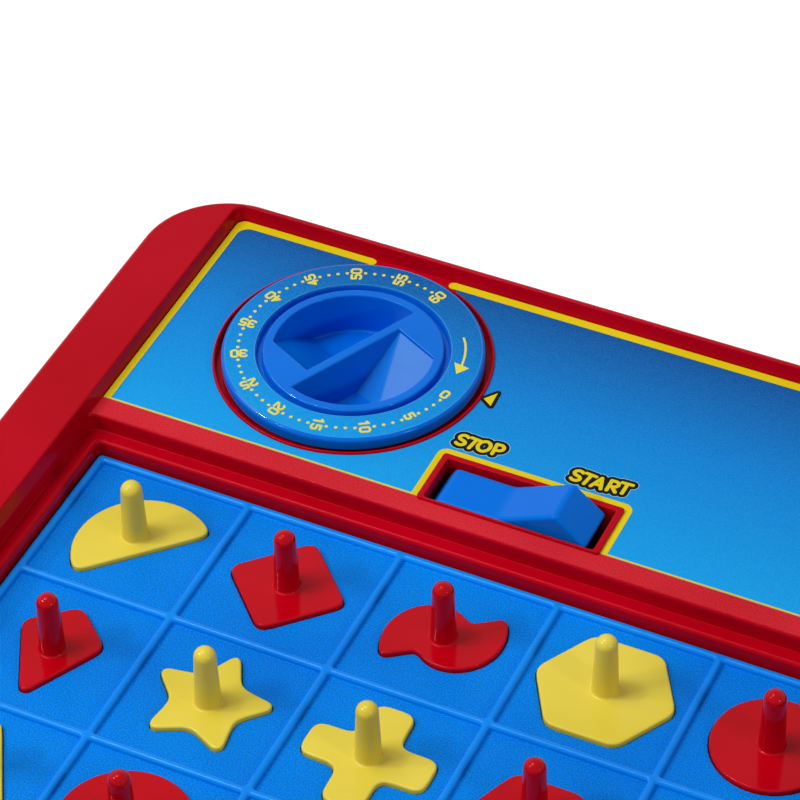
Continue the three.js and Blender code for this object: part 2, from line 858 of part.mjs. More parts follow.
// Rocker in the XZ plane about its pivot: two faces meet in a shallow valley, with sloping ends, a hub and a leg.
function rockerSwitch() {
  const tilt = radians(rockerTilt);
  const end = radians(rockerEndAngle);
  const valley = rockerPivotDrop + rockerValleyRise;
  const peakX = rockerFaceLength * Math.cos(tilt);
  const peakZ = valley + rockerFaceLength * Math.sin(tilt);
  const footX = peakX + rockerEndLength * Math.cos(end);
  const footZ = peakZ - rockerEndLength * Math.sin(end);
  const legX = rockerLegWidth / 2;
  const outline = [
    [0, valley],
    [-peakX, peakZ],
    [-footX, footZ],
    [-rockerHubRadius, -rockerHubRadius / 2],
    [-legX, -rockerHubRadius],
    [-legX, -rockerLegLength],
    [legX, -rockerLegLength],
    [legX, -rockerHubRadius],
    [rockerHubRadius, -rockerHubRadius / 2],
    [footX, footZ],
    [peakX, peakZ],
  ];
  const [right, up, front] = [[1, 0, 0], [0, 0, 1], [0, -1, 0]].map((a) => new THREE.Vector3(...a));
  const half = rockerWidth / 2;
  const body = uprightPrism(polygon(outline), -half, half, right, up, front);
  const legHalf = rockerLegDepth / 2;
  const low = -rockerLegLength - cutOverrun;
  const side = rockerLegWidth;
  const waist = -rockerHubRadius - fitGap;
  const trims = [
    box(-side, side, legHalf, half + cutOverrun, low, waist),
    box(-side, side, -half - cutOverrun, -legHalf, low, waist),
  ];
  const bore = crossRod(rockerPinRadius + fitGap, rockerWidth * 2, false, 0, 0, 0);
  return cut(body, bore, trims);
}

function rockerPin() {
  const length = rockerWidth + (rockerEarGap + rockerEarThickness) * 2;
  return crossRod(rockerPinRadius, length, false, 0, 0, 0);
}

// Piece outlines as shares of the pieces' reach from the cell's centre, each with rounded corners.
const triangleShare = ring(3, 1, 90);
const squareShare = ring(4, 0.88, 45);
const diamondShare = ring(4, 0.92, 0);
const pentagonShare = ring(5, 0.92, 90);
const hexagonShare = ring(6, 1.03, 0);
const octagonShare = ring(8, 0.88, 22.5);
const discShare = ring(20, 0.84, 0);
const starShare = star(5, 1, 0.5, 90);
const hexStarShare = star(6, 0.98, 0.6, 90);
const burstShare = star(8, 0.94, 0.66, 0);
const crossShare = star4(0.92, 0.3);
const diagonalCrossShare = star4(0.96, 0.28).map(([x, y]) => turn(x, y, 45));
const halfDiscShare = bow(1.01, -45, 87, 0.31);
const quarterShare = sector(1.5, 0, 90, [-0.68, -0.68]);
const pieShare = sector(0.96, 35, 325, [0, 0]);
const crescentShare = crescent();
const trapezoidShare = [[-0.95, -0.5], [0.95, -0.5], [0.5, 0.55], [-0.5, 0.55]];
const parallelogramShare = [[-0.95, -0.5], [0.45, -0.5], [0.95, 0.5], [-0.45, 0.5]];
const rectangleShare = [[-0.9, -0.42], [0.9, -0.42], [0.9, 0.42], [-0.9, 0.42]];
const kiteShare = [[0, -0.95], [0.66, 0.3], [0, 0.86], [-0.66, 0.3]];
const rightTriangleShare = [[-0.62, -0.68], [0.9, -0.68], [-0.62, 0.84]];
const arrowShare = mirrored([[0, 0.95], [0.85, 0.05], [0.4, 0.05], [0.4, -0.8]]);
const hourglassShare = [[-0.75, -0.85], [0.75, -0.85], [0.32, 0], [0.75, 0.85], [-0.75, 0.85], [-0.32, 0]];
const chevronShare = [[-0.85, -0.75], [0, -0.3], [0.85, -0.75], [0.85, 0.2], [0, 0.75], [-0.85, 0.2]];
const pinwheelShare = pinwheel();

// Half an outline and its mirror image across X; a point on the mirror line is kept once.
function mirrored(points) {
  const other = points.filter(([x]) => x > 0).map(([x, y]) => [-x, y]);
  return [...points, ...other.reverse()];
}

function turn(x, y, degrees) {
  const angle = radians(degrees);
  return [x * Math.cos(angle) - y * Math.sin(angle), x * Math.sin(angle) + y * Math.cos(angle)];
}

function ring(count, share, startDegrees) {
  return Array.from({ length: count }, (_, i) => turn(share, 0, startDegrees + (360 / count) * i));
}

function star(points, outerShare, innerShare, startDegrees) {
  const step = 180 / points;
  return Array.from({ length: points * 2 }, (_, i) =>
    turn(i % 2 ? innerShare : outerShare, 0, startDegrees + step * i),
  );
}

// A plus sign with four equal arms.
function star4(reachShare, armShare) {
  return [0, 90, 180, 270].flatMap((degrees) => [
    turn(reachShare, -armShare, degrees),
    turn(reachShare, armShare, degrees),
    turn(armShare, armShare, degrees),
  ]);
}

function arcPoints(share, from, to, steps) {
  return Array.from({ length: steps + 1 }, (_, i) => turn(share, 0, from + ((to - from) * i) / steps));
}

// A half disc whose flat side faces the given direction.
function bow(share, facing, spread, setShare) {
  const shift = turn(setShare, 0, facing);
  const arc = arcPoints(share, facing + spread, facing + 360 - spread, 12);
  return arc.map(([x, y]) => [x + shift[0], y + shift[1]]);
}

function sector(share, from, to, centreShare) {
  const arc = arcPoints(share, from, to, 14);
  return [[0, 0], ...arc].map(([x, y]) => [x + centreShare[0], y + centreShare[1]]);
}

function crescent() {
  const [outerShare, innerShare, innerSetShare, wholeSetShare] = [0.92, 0.72, 0.36, 0.62];
  const outer = arcPoints(outerShare, 62, 298, 12);
  const inner = arcPoints(innerShare, 285, 75, 7).map(([x, y]) => [x + innerSetShare, y]);
  return [...outer, ...inner].map(([x, y]) => [x + wholeSetShare, y]);
}

// Two spiral blades: the radius falls over each half turn and steps out again.
function pinwheel() {
  const [wideShare, narrowShare] = [0.94, 0.42];
  const [start, span, steps] = [226, 168, 7];
  const blade = Array.from({ length: steps + 1 }, (_, i) => {
    const share = wideShare - ((wideShare - narrowShare) * i) / steps;
    return turn(share, 0, start - (span * i) / steps);
  });
  return [...blade, ...blade.map(([x, y]) => [-x, -y])];
}

// Back row first, left to right in each row.
const pieceTable = [
  ["half_disc", halfDiscShare, pieceYellow],
  ["diamond", diamondShare, pieceRed],
  ["pinwheel", pinwheelShare, pieceRed],
  ["hexagon", hexagonShare, pieceYellow],
  ["disc", discShare, pieceRed],
  ["kite", kiteShare, pieceRed],
  ["star", starShare, pieceYellow],
  ["cross", crossShare, pieceYellow],
  ["trapezoid", trapezoidShare, pieceRed],
  ["crescent", crescentShare, pieceYellow],
  ["triangle", triangleShare, pieceYellow],
  ["pie", pieShare, pieceRed],
  ["octagon", octagonShare, pieceYellow],
  ["arrow", arrowShare, pieceRed],
  ["square", squareShare, pieceYellow],
  ["parallelogram", parallelogramShare, pieceRed],
  ["diagonal_cross", diagonalCrossShare, pieceYellow],
  ["hex_star", hexStarShare, pieceRed],
  ["rectangle", rectangleShare, pieceYellow],
  ["pentagon", pentagonShare, pieceRed],
  ["quarter_disc", quarterShare, pieceYellow],
  ["hourglass", hourglassShare, pieceRed],
  ["chevron", chevronShare, pieceYellow],
  ["right_triangle", rightTriangleShare, pieceRed],
  ["burst", burstShare, pieceYellow],
];

function cellCentre(index) {
  const column = index % gridCount;
  const row = Math.floor(index / gridCount);
  const middle = (gridCount - 1) / 2;
  return [(column - middle) * cellPitch, trayY + (middle - row) * cellPitch];
}

function pieceOutline(shares) {
  return roundedOutline(shares.map(([x, y]) => [x * pieceReach, y * pieceReach]), pieceCornerRadius);
}

// The pocket's outline stands off the piece's by the fit gap all round.
function offsetOutline(shape, gap, divisions) {
  const points = shape.extractPoints(divisions).shape;
  if (THREE.ShapeUtils.isClockWise(points)) points.reverse();
  const kept = points.filter((p, i) => p.distanceTo(points[(i + 1) % points.length]) > gap / 10);
  return kept.map((p, i) => {
    const before = kept[(i + kept.length - 1) % kept.length];
    const after = kept[(i + 1) % kept.length];
    const inward = p.clone().sub(before).normalize();
    const outward = after.clone().sub(p).normalize();
    const normal = new THREE.Vector2(inward.y + outward.y, -inward.x - outward.x).normalize();
    const lean = Math.max(normal.x * outward.y - normal.y * outward.x, 1 / 2);
    return p.clone().addScaledVector(normal, gap / lean);
  });
}

function shapePiece(shares) {
  const bottom = -pocketDepth + fitGap;
  const plate = prism(pieceOutline(shares), bottom, pieceProud, 2);
  const shoulder = pieceProud + pegHeight - pegTopRadius;
  const dome = polar(pegTopRadius, radians(pegDomeAngle));
  const profile = [
    [0, pieceProud / 2],
    [pegFootRadius, pieceProud / 2],
    [pegTopRadius, shoulder],
    [dome[0], shoulder + dome[1]],
    [0, pieceProud + pegHeight],
  ];
  return union(plate, turned(profile, pegSides));
}

// Tray: a ridged plate on a guide skirt, with a pocket for each shape, spring posts and hooked guide legs.
function popTray() {
  const [front, back] = [trayY - trayHalf, trayY + trayHalf];
  const stages = [
    [traySkirtFoot, 0],
    [ridgeTopZ - ridgeHeight / 4, 0],
    [ridgeTopZ, ridgeHeight / 4],
  ];
  const blank = draftedBlock(-trayHalf, trayHalf, front, back, trayCornerRadius, stages, 2);
  const inner = trayHalf - traySkirtWall;
  const under = box(-inner, inner, trayY - inner, trayY + inner, traySkirtFoot - cutOverrun, trayUnderside);
  const cells = pieceTable.map((_, i) => cellRecess(i));
  const pockets = pieceTable.map(([, shares], i) => piecePocket(shares, i));
  const posts = springPlaces().map(([x, y]) =>
    rod(springPostRadius, trayUnderside - upperPostHeight, cellFloorZ - pocketDepth - fitGap, x, y, holeSides),
  );
  return union(cut(blank, under, cells, pockets), posts, guideLegs());
}

function cellRecess(index) {
  const [x, y] = cellCentre(index);
  const half = (cellPitch - ridgeWidth) / 2;
  const draft = (ridgeWidth - ridgeTopWidth) / 2;
  const flare = (draft * (ridgeHeight + cutOverrun)) / ridgeHeight;
  const layers = [
    [cellFloorZ, half],
    [ridgeTopZ + cutOverrun, half + flare],
  ].map(([z, reach]) => ({
    z,
    outline: [
      new THREE.Vector2(x - reach, y - reach),
      new THREE.Vector2(x + reach, y - reach),
      new THREE.Vector2(x + reach, y + reach),
      new THREE.Vector2(x - reach, y + reach),
    ],
  }));
  return lofted(layers);
}

function piecePocket(shares, index) {
  const [x, y] = cellCentre(index);
  const outline = offsetOutline(pieceOutline(shares), fitGap, 2);
  const shape = new THREE.Shape(outline.map((p) => new THREE.Vector2(p.x + x, p.y + y)));
  return prism(shape, cellFloorZ - pocketDepth, ridgeTopZ + cutOverrun);
}

// Hooked legs stop the tray's rise under the well's wall; the one behind the dial is the latch's catch.
function guideLegs() {
  const half = legWidth / 2;
  const outer = trayHalf;
  const inner = outer - legThickness;
  const reach = outer + footReach;
  const [low, top, step] = [catchFoot, traySkirtFoot + cutOverrun, catchFoot + footHeight];
  const across = [
    [-1, 0],
    [1, 0],
  ].flatMap(([side]) => [
    box(...sorted(side * inner, side * outer), trayY - half, trayY + half, low, top),
    box(...sorted(side * outer, side * reach), trayY - half, trayY + half, low, step),
  ]);
  const along = [
    [-1, 0],
    [1, -dialX],
    [1, dialX],
  ].flatMap(([end, x]) => [
    box(x - half, x + half, ...sorted(trayY + end * inner, trayY + end * outer), low, top),
    box(x - half, x + half, ...sorted(trayY + end * outer, trayY + end * reach), low, step),
  ]);
  return [...across, ...along];
}

function sorted(a, b) {
  return a < b ? [a, b] : [b, a];
}

// A coil spring as one unbroken tube along a helix, with flat ends.
function coilSpring(length) {
  const steps = springTurns * springStepsPerTurn;
  const rise = length - springWire;
  const centres = Array.from({ length: steps + 1 }, (_, i) => {
    const angle = (i / springStepsPerTurn) * Math.PI * 2;
    const z = springWire / 2 + (rise * i) / steps;
    return new THREE.Vector3(springMeanRadius * Math.cos(angle), springMeanRadius * Math.sin(angle), z);
  });
  reportCoilGap("tray spring", centres, springStepsPerTurn, springWire);
  const rings = centres.map((centre, i) => {
    const angle = (i / springStepsPerTurn) * Math.PI * 2;
    const outward = new THREE.Vector3(Math.cos(angle), Math.sin(angle), 0);
    return Array.from({ length: springWireSides }, (_, k) => {
      const turnAngle = (k / springWireSides) * Math.PI * 2;
      const point = centre.clone().addScaledVector(outward, (springWire / 2) * Math.cos(turnAngle));
      point.z += (springWire / 2) * Math.sin(turnAngle);
      return point;
    });
  });
  return tubeThrough(rings);
}

function tubeThrough(rings) {
  const sides = rings[0].length;
  const positions = rings.flat().flatMap((p) => [p.x, p.y, p.z]);
  const faces = [];
  for (let i = 0; i + 1 < rings.length; i++) {
    for (let k = 0; k < sides; k++) {
      const a = i * sides + k;
      const b = i * sides + ((k + 1) % sides);
      faces.push(a, b, b + sides, a, b + sides, a + sides);
    }
  }
  const last = (rings.length - 1) * sides;
  for (let k = 1; k + 1 < sides; k++) {
    faces.push(0, k + 1, k, last, last + k, last + k + 1);
  }
  const geometry = new THREE.BufferGeometry();
  geometry.setAttribute("position", new THREE.Float32BufferAttribute(positions, 3));
  geometry.setIndex(faces);
  return solidOf(geometry);
}

// Measures how near a coil comes to its own next turns and prints it.
function reportCoilGap(name, centres, stepsPerTurn, thickness) {
  let least = Infinity;
  centres.forEach((centre, i) => {
    for (let k = i + Math.ceil(stepsPerTurn / 2); k < centres.length; k++) {
      least = Math.min(least, centre.distanceTo(centres[k]) - thickness);
    }
  });
  const verdict = least > leastCoilGap ? "clear" : "too near";
  console.log(`${name}: least gap to itself ${least.toFixed(2)} mm, ${verdict}`);
}

// Gear outline with straight-sided teeth narrowed by the backlash; a tooth points along +X.
function gearOutline(teeth, size) {
  const pitchRadius = (teeth * size) / 2;
  const pitchAngle = (Math.PI * 2) / teeth;
  const tipRadius = pitchRadius + size * addendumShare;
  const rootRadius = pitchRadius - size * dedendumShare;
  const half = pitchAngle / 4 - toothBacklash / 2 / pitchRadius;
  const levels = [
    [rootRadius, half * toothRootShare],
    [tipRadius, half * toothTipShare],
  ];
  const points = [];
  for (let i = 0; i < teeth; i++) {
    const middle = pitchAngle * i;
    for (const [radius, spread] of levels) points.push(polar(radius, middle - spread));
    for (const [radius, spread] of [...levels].reverse()) points.push(polar(radius, middle + spread));
  }
  return polygon(points);
}

function polar(radius, angle) {
  return [radius * Math.cos(angle), radius * Math.sin(angle)];
}

function secondArbor() {
  const distance = (gearModule * (driveTeeth + pinionTeeth)) / 2;
  const [x, y] = polar(distance, radians(secondArborAngle));
  return [dialX + x, dialY + y];
}

function escapeArbor() {
  const distance = (wheelModule * (wheelTeeth + pinionTeeth)) / 2;
  const [x, y] = polar(distance, radians(escapeArborAngle));
  const [sx, sy] = secondArbor();
  return [sx + x, sy + y];
}

function palletArbor() {
  const [x, y] = escapeArbor();
  return [x + palletFromEscape, y];
}

function brakeArbor() {
  const [x, y] = escapeArbor();
  return [x + brakeArmLength, y + escapeRadius + fitGap + brakeArmWidth / 2];
}

// The arbor runs through both plates with a short tail past each.
function arbor(radius = arborRadius) {
  const foot = basePlateFoot - arborTail;
  const top = topPlateFoot + plateThickness + arborTail;
  return rod(radius, foot, top, 0, 0, holeSides);
}

function arborPlaces() {
  return [secondArbor(), escapeArbor(), palletArbor(), brakeArbor()];
}

function driveGear() {
  const disc = prism(gearOutline(driveTeeth, gearModule), driveGearFoot, driveGearFoot + driveGearThickness);
  const hub = rod(shaftCollarRadius, driveGearFoot - fitGap, driveGearFoot + driveGearThickness * 2);
  const bore = rod(shaftRadius + fitGap, driveGearFoot - cutOverrun, topPlateFoot);
  return cut(union(disc, hub), bore);
}

// Second wheel: the pinion meshes with the drive gear and the wheel drives the escape pinion.
function secondWheel() {
  const pinionTurn = secondArborAngle + 180 + 180 / pinionTeeth;
  const wheel = prism(gearOutline(wheelTeeth, wheelModule), wheelFoot, wheelFoot + wheelThickness);
  const low = driveGearFoot - pinionOverlap;
  const high = driveGearFoot + driveGearThickness + pinionOverlap;
  const pinion = prism(gearOutline(pinionTeeth, gearModule), low, high);
  const neck = rod(arborRadius * 2, wheelFoot, high, 0, 0, holeSides);
  return union(wheel.rotate([0, 0, escapeArborAngle]), pinion.rotate([0, 0, pinionTurn]), neck, arbor());
}

function escapeWheel() {
  const pinionTurn = escapeArborAngle + 180 + 180 / pinionTeeth;
  const low = wheelFoot - pinionOverlap;
  const high = wheelFoot + wheelThickness + pinionOverlap;
  const pinion = prism(gearOutline(pinionTeeth, wheelModule), low, high).rotate([0, 0, pinionTurn]);
  const pitchAngle = (Math.PI * 2) / escapeTeeth;
  const tipSpread = (pitchAngle * escapeTipShare) / 2;
  const points = [];
  for (let i = 0; i < escapeTeeth; i++) {
    const middle = pitchAngle * (i + 1 / 2);
    points.push(polar(escapeRootRadius, middle - pitchAngle / 2));
    points.push(polar(escapeRadius, middle - tipSpread));
    points.push(polar(escapeRadius, middle + tipSpread));
  }
  const wheel = prism(polygon(points), escapeFoot, escapeFoot + escapeThickness);
  return union(wheel, pinion, rod(arborRadius * 2, wheelFoot, escapeFoot, 0, 0, holeSides), arbor());
}

// Pallet: an anchor plate over the escape wheel, with one pin at each side of the line of centres.
function pallet() {
  const low = palletFoot;
  const high = low + palletPlateThickness;
  const pinCircle = escapeRadius + fitGap + palletPinRadius;
  const pins = [-1, 1].map((side) => {
    const [x, y] = polar(pinCircle, radians(palletSpread * side));
    return [x - palletFromEscape, y];
  });
  const anchor = polygon([
    [leverHubRadius, 0],
    [pins[1][0], pins[1][1] + palletPinRadius],
    [pins[1][0] - palletPinRadius, pins[1][1] - palletPinRadius],
    [-leverHubRadius, 0],
    [pins[0][0] - palletPinRadius, pins[0][1] + palletPinRadius],
    [pins[0][0], pins[0][1] - palletPinRadius],
  ]);
  const plate = prism(anchor, low, high);
  const hub = rod(leverHubRadius, low, high, 0, 0, pinSides);
  const drops = pins.map(([x, y]) => rod(palletPinRadius, escapeFoot - fitGap, high, x, y, smallPinSides));
  return union(plate, hub, drops, arbor());
}

// Brake lever: one arm lies against the rocker's leg, the other stops the escape wheel.
function brakeLever() {
  const [x, y] = brakeArbor();
  const half = brakeArmWidth / 2;
  const wheelArmFoot = escapeFoot;
  const legArmFoot = escapeFoot - brakeArmThickness - palletPlateThickness;
  const armTop = wheelArmFoot + brakeArmThickness;
  const contactX = rockerLegPlace() - rockerLegWidth / 2 - fitGap * 2 - x;
  const contactY = rockerY - rockerLegDepth / 2 - y;
  const wheelArm = box(-brakeArmLength - half, 0, -half, half, wheelArmFoot, armTop);
  const legArm = prism(
    polygon([
      [-half, 0],
      [contactX - brakeArmWidth, contactY],
      [contactX, contactY],
      [half, 0],
    ]),
    legArmFoot,
    legArmFoot + brakeArmThickness,
  );
  const hub = rod(leverHubRadius, legArmFoot, armTop, 0, 0, pinSides);
  return union(wheelArm, legArm, hub, arbor());
}

// With STOP pressed the rocker's leg swings towards +X.
function rockerLegPlace() {
  return rockerX + rockerLegLength * Math.sin(radians(rockerTilt));
}

function pillarPlaces() {
  const [left, right] = [dialX - plateLeftReach + pillarInset, dialX + plateRightReach - pillarInset];
  const [front, back] = [dialY - plateFrontReach + pillarInset, dialY + plateBackReach - pillarInset];
  return [left, right].flatMap((x) => [front, back].map((y) => [x, y]));
}

function movementPlate(foot) {
  const outline = arcRectangle(
    dialX - plateLeftReach,
    dialX + plateRightReach,
    dialY - plateFrontReach,
    dialY + plateBackReach,
    plateCornerRadius,
  );
  const plate = prism(outline, foot, foot + plateThickness, 3);
  const [low, high] = [foot - cutOverrun, foot + plateThickness + cutOverrun];
  const holes = arborPlaces().map(([x, y]) => rod(arborRadius + fitGap, low, high, x, y, holeSides));
  const shaftHole = rod(shaftRadius + fitGap, low, high, dialX, dialY);
  return cut(plate, holes, shaftHole);
}

function movementBase() {
  const top = topPlateFoot - seamGap;
  const pillars = pillarPlaces().map(([x, y]) => rod(pillarRadius, basePlateFoot + seamGap, top, x, y, holeSides));
  const plate = movementPlate(basePlateFoot + seamGap);
  return union(plate, pillars);
}

// Mainspring: a flat spiral band between the shaft and its outer hook.
function mainspring() {
  const steps = mainspringTurns * mainspringSteps;
  const middle = Array.from({ length: steps + 1 }, (_, i) => {
    const angle = (i / mainspringSteps) * Math.PI * 2;
    const radius = mainspringInnerRadius + (mainspringPitch * i) / mainspringSteps;
    return { angle, radius };
  });
  const centres = middle.map(({ angle, radius }) => new THREE.Vector3(...polar(radius, angle), 0));
  reportCoilGap("mainspring", centres, mainspringSteps, mainspringThickness);
  const half = mainspringThickness / 2;
  const outer = middle.map(({ angle, radius }) => polar(radius + half, angle));
  const inner = middle.map(({ angle, radius }) => polar(radius - half, angle)).reverse();
  return prism(polygon([...outer, ...inner]), mainspringFoot, mainspringFoot + mainspringHeight);
}

// Release cam: a disc on the dial's shaft whose ramp lifts the latch's tip as the dial comes back to zero.
function releaseCam() {
  const disc = rod(camOuterRadius, camFoot, camFoot + camDiscThickness, 0, 0, dialSides);
  const span = dialTurn + camMargin * 2;
  const foot = camFoot + camDiscThickness / 2;
  const rings = Array.from({ length: camSteps + 1 }, (_, i) => {
    const back = (span * i) / camSteps;
    const wound = Math.min(Math.max(back - camMargin, 0), dialTurn);
    const top = camTop - (camRise * wound) / dialTurn;
    const angle = radians(-90 + camMargin - back);
    return [
      [camInnerRadius, foot],
      [camOuterRadius, foot],
      [camOuterRadius, top],
      [camInnerRadius, top],
    ].map(([radius, z]) => new THREE.Vector3(...polar(radius, angle), z));
  });
  const bore = rod(shaftRadius + fitGap, camFoot - cutOverrun, camTop);
  return union(disc, tubeThrough(rings)).subtract(bore);
}

// Release latch in the YZ plane about its pin: nose below, tip above the cam's ramp.
function releaseLatch() {
  const half = latchArmThickness / 2;
  const noseLow = catchFoot + footHeight + fitGap - latchPivotHeight;
  const noseTop = noseLow + latchNoseHeight;
  const armTop = camTop + fitGap + latchArmThickness - latchPivotHeight;
  const armLow = camTop + fitGap - latchPivotHeight;
  const reach = latchArmReach();
  const outline = [
    [-half, 0],
    [-half, noseTop],
    [-half - latchNoseReach, noseTop - latchNoseHeight / 2],
    [-half - latchNoseReach, noseLow],
    [half, noseLow],
    [half, -latchHubRadius],
    [latchHubRadius, armLow - latchArmThickness],
    [reach / 2, armLow],
    [reach, armLow],
    [reach, armTop],
    [-half, armTop],
  ];
  const [along, up, across] = [[0, 1, 0], [0, 0, 1], [1, 0, 0]].map((a) => new THREE.Vector3(...a));
  const side = latchWidth / 2;
  const lever = uprightPrism(polygon(outline), -side, side, along, up, across);
  const hub = crossRod(latchHubRadius, latchWidth, true, 0, 0, 0);
  const bore = crossRod(latchPinRadius + fitGap, latchWidth * 2, true, 0, 0, 0);
  return union(lever, hub).subtract(bore);
}

function latchPin() {
  const length = latchWidth + (latchEarThickness + fitGap) * 2;
  return crossRod(latchPinRadius, length, true, 0, 0, 0, pinSides);
}

function addCase() {
  add("upper_case", upperCase(), red);
  add("lower_case", lowerCase(), red);
  add("panel_label", panelLabel(), labelBlue);
  screwPlaces().forEach(([x, y], i) => add(`case_screw_${i + 1}`, caseScrew(), steel, x, y));
}

function addControls() {
  const dial = add("timer_dial", timerDial(), dialBlue, dialX, dialY, panelZ);
  dial.rotation.z = radians(gripDirection);
  add("dial_label", dialLabel(), labelBlue, dialX, dialY, panelZ);
  const rocker = add("rocker_switch", rockerSwitch(), dialBlue, rockerX, rockerY, rockerZ);
  rocker.rotation.y = -radians(rockerTilt);
  add("rocker_pin", rockerPin(), steel, rockerX, rockerY, rockerZ);
}

function addMovement() {
  add("movement_base", movementBase(), steel);
  add("movement_top_plate", movementPlate(topPlateFoot), steel);
  add("dial_shaft", dialShaft(), steel, dialX, dialY);
  add("mainspring", mainspring(), steel, dialX, dialY);
  const drive = add("drive_gear", driveGear(), nylon, dialX, dialY);
  drive.rotation.z = radians(secondArborAngle);
  add("second_wheel", secondWheel(), nylon, ...secondArbor());
  add("escape_wheel", escapeWheel(), brass, ...escapeArbor());
  add("pallet", pallet(), brass, ...palletArbor());
  add("release_cam", releaseCam(), nylon, dialX, dialY);
  add("brake_lever", brakeLever(), nylon, ...brakeArbor());
  add("release_latch", releaseLatch(), nylon, dialX, latchY(), latchPivotHeight);
  add("latch_pin", latchPin(), steel, dialX, latchY(), latchPivotHeight);
}

function addTray() {
  add("pop_tray", popTray(), trayBlue);
  const foot = floorThickness + fitGap;
  const length = trayUnderside - fitGap - foot;
  springPlaces().forEach(([x, y], i) => add(`tray_spring_${i + 1}`, coilSpring(length), steel, x, y, foot));
  pieceTable.forEach(([name, shares, finish], i) => {
    const [x, y] = cellCentre(i);
    add(`piece_${name}`, shapePiece(shares), finish, x, y, cellFloorZ);
  });
}

addCase();
addControls();
addMovement();
addTray();

export default root;
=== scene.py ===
import math

import bmesh
import bpy
from mathutils import Matrix, Vector, geometry

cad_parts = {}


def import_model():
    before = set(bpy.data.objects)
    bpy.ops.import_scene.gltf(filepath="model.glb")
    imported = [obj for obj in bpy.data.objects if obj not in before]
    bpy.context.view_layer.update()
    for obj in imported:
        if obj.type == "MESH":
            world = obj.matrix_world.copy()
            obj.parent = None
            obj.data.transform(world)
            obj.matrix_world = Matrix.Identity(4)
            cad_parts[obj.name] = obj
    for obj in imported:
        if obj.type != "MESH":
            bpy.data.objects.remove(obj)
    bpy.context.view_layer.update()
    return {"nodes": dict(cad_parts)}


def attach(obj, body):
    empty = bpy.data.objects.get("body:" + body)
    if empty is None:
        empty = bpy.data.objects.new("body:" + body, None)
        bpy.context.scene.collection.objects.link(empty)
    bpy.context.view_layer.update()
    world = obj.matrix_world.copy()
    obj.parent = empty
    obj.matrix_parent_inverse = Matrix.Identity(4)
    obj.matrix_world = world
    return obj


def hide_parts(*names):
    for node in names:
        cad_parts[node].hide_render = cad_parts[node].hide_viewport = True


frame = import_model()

MM = 0.001

# Sizes in millimetres: X to the right, Y to the timer panel, Z up from the underside
# Heights of the flange, panel, ledge, tray ridges and cell floors
TOP, PANEL, LEDGE, RIDGE, CELL = 47.4, 44.0, 40.0, 37.2, 36.0
# Heights of the seam and of the inside floor, and the thickness of the walls
SEAM, FLOOR, WALL = 14.0, 2.4, 2.4
# The case's half sizes and corner radius, and its outlines outside and inside the wall
HALF_X, HALF_Y, CORNER = 103.8, 131.7, 18.7
CASE_RECT = (-HALF_X, HALF_X, -HALF_Y, HALF_Y)
ROOM_RECT = (-HALF_X + WALL, HALF_X - WALL, -HALF_Y + WALL, HALF_Y - WALL)
# The sunken pocket and its corner radius, and the front edges of the divider strip and of the label
POCKET_X, POCKET_FRONT, POCKET_BACK, POCKET_CORNER = 89.5, -117.4, 129.3, 2.0
STRIP_FRONT, PANEL_FRONT = 61.6, 66.9
# The tray: half size of its well, its middle, its own half size, and its grid
WELL, TRAY_Y, TRAY_HALF = 86.3, -27.9, 85.9
PITCH, RIDGE_WIDTH = 34.0, 1.8
# The dial: axis, radius of its well, middle and outside of the bead round it, and the turn of its grip
DIAL = (-47.5, 98.9)
DIAL_WELL, BEAD, BEAD_OUT = 28.8, 29.1, 29.4
GRIP_TURN = math.radians(63.4)
# Half width of the gap that the label leaves behind the dial
GAP = 10.6
# The rocker's pin and tilt, its slot, and the width and height of the slot's lip
ROCKER, ROCKER_TILT = (1.7, 72.75, 32.4), math.radians(11.65)
SLOT = (36.7, 11.9)
SLOT_RECT = (ROCKER[0] - SLOT[0] / 2, ROCKER[0] + SLOT[0] / 2,
             ROCKER[1] - SLOT[1] / 2, ROCKER[1] + SLOT[1] / 2)
LIP, LIP_RISE = 1.4, 0.7
# Foot and top of the pieces' plates, and top of their pegs
PIECE_FOOT, PIECE_TOP, PEG_TOP = 33.1, 37.0, 51.5
# Places of the case screws and tray springs
SCREWS = [(side * 95.5, end * 112.0) for side in (-1, 1) for end in (-1, 0, 1)]
SPRINGS = [(x, TRAY_Y + y) for x in (-60, 60) for y in (-60, 60)]
# A height above everything, where open cutters end
ABOVE = 60.0


# Mesh helpers

def linked(name, data):
    obj = bpy.data.objects.new(name, data)
    bpy.context.scene.collection.objects.link(obj)
    return obj


def mesh_object(name, points, faces):
    mesh = bpy.data.meshes.new(name)
    mesh.from_pydata([(x * MM, y * MM, z * MM) for x, y, z in points], [], faces)
    mesh.update()
    return linked(name, mesh)


def loft(name, rings, closed=False):
    """One skin through rings of the same count, capped at both ends, or closed on itself like a tyre."""
    count = len(rings[0])
    points = [p for ring in rings for p in ring]
    pairs = [(k, k + 1) for k in range(len(rings) - 1)]
    if closed:
        pairs.append((len(rings) - 1, 0))
    faces = []
    for low, high in pairs:
        a, b = low * count, high * count
        for i in range(count):
            j = (i + 1) % count
            faces.append((a + i, a + j, b + j, b + i))
    if not closed:
        last = (len(rings) - 1) * count
        faces.append(tuple(range(count - 1, -1, -1)))
        faces.append(tuple(range(last, last + count)))
    return mesh_object(name, points, faces)


def lathe(name, profile, x=0.0, y=0.0, steps=96, closed=False):
    """A profile of (radius, height) pairs turned about Z, listed up the outside."""
    turns = [2 * math.pi * i / steps for i in range(steps)]
    rings = [[(x + r * math.cos(t), y + r * math.sin(t), z) for t in turns] for r, z in profile]
    return loft(name, rings, closed)


def quarter(steps):
    """Angles from 0 to a quarter turn in even steps."""
    return [math.pi / 2 * i / steps for i in range(steps + 1)]


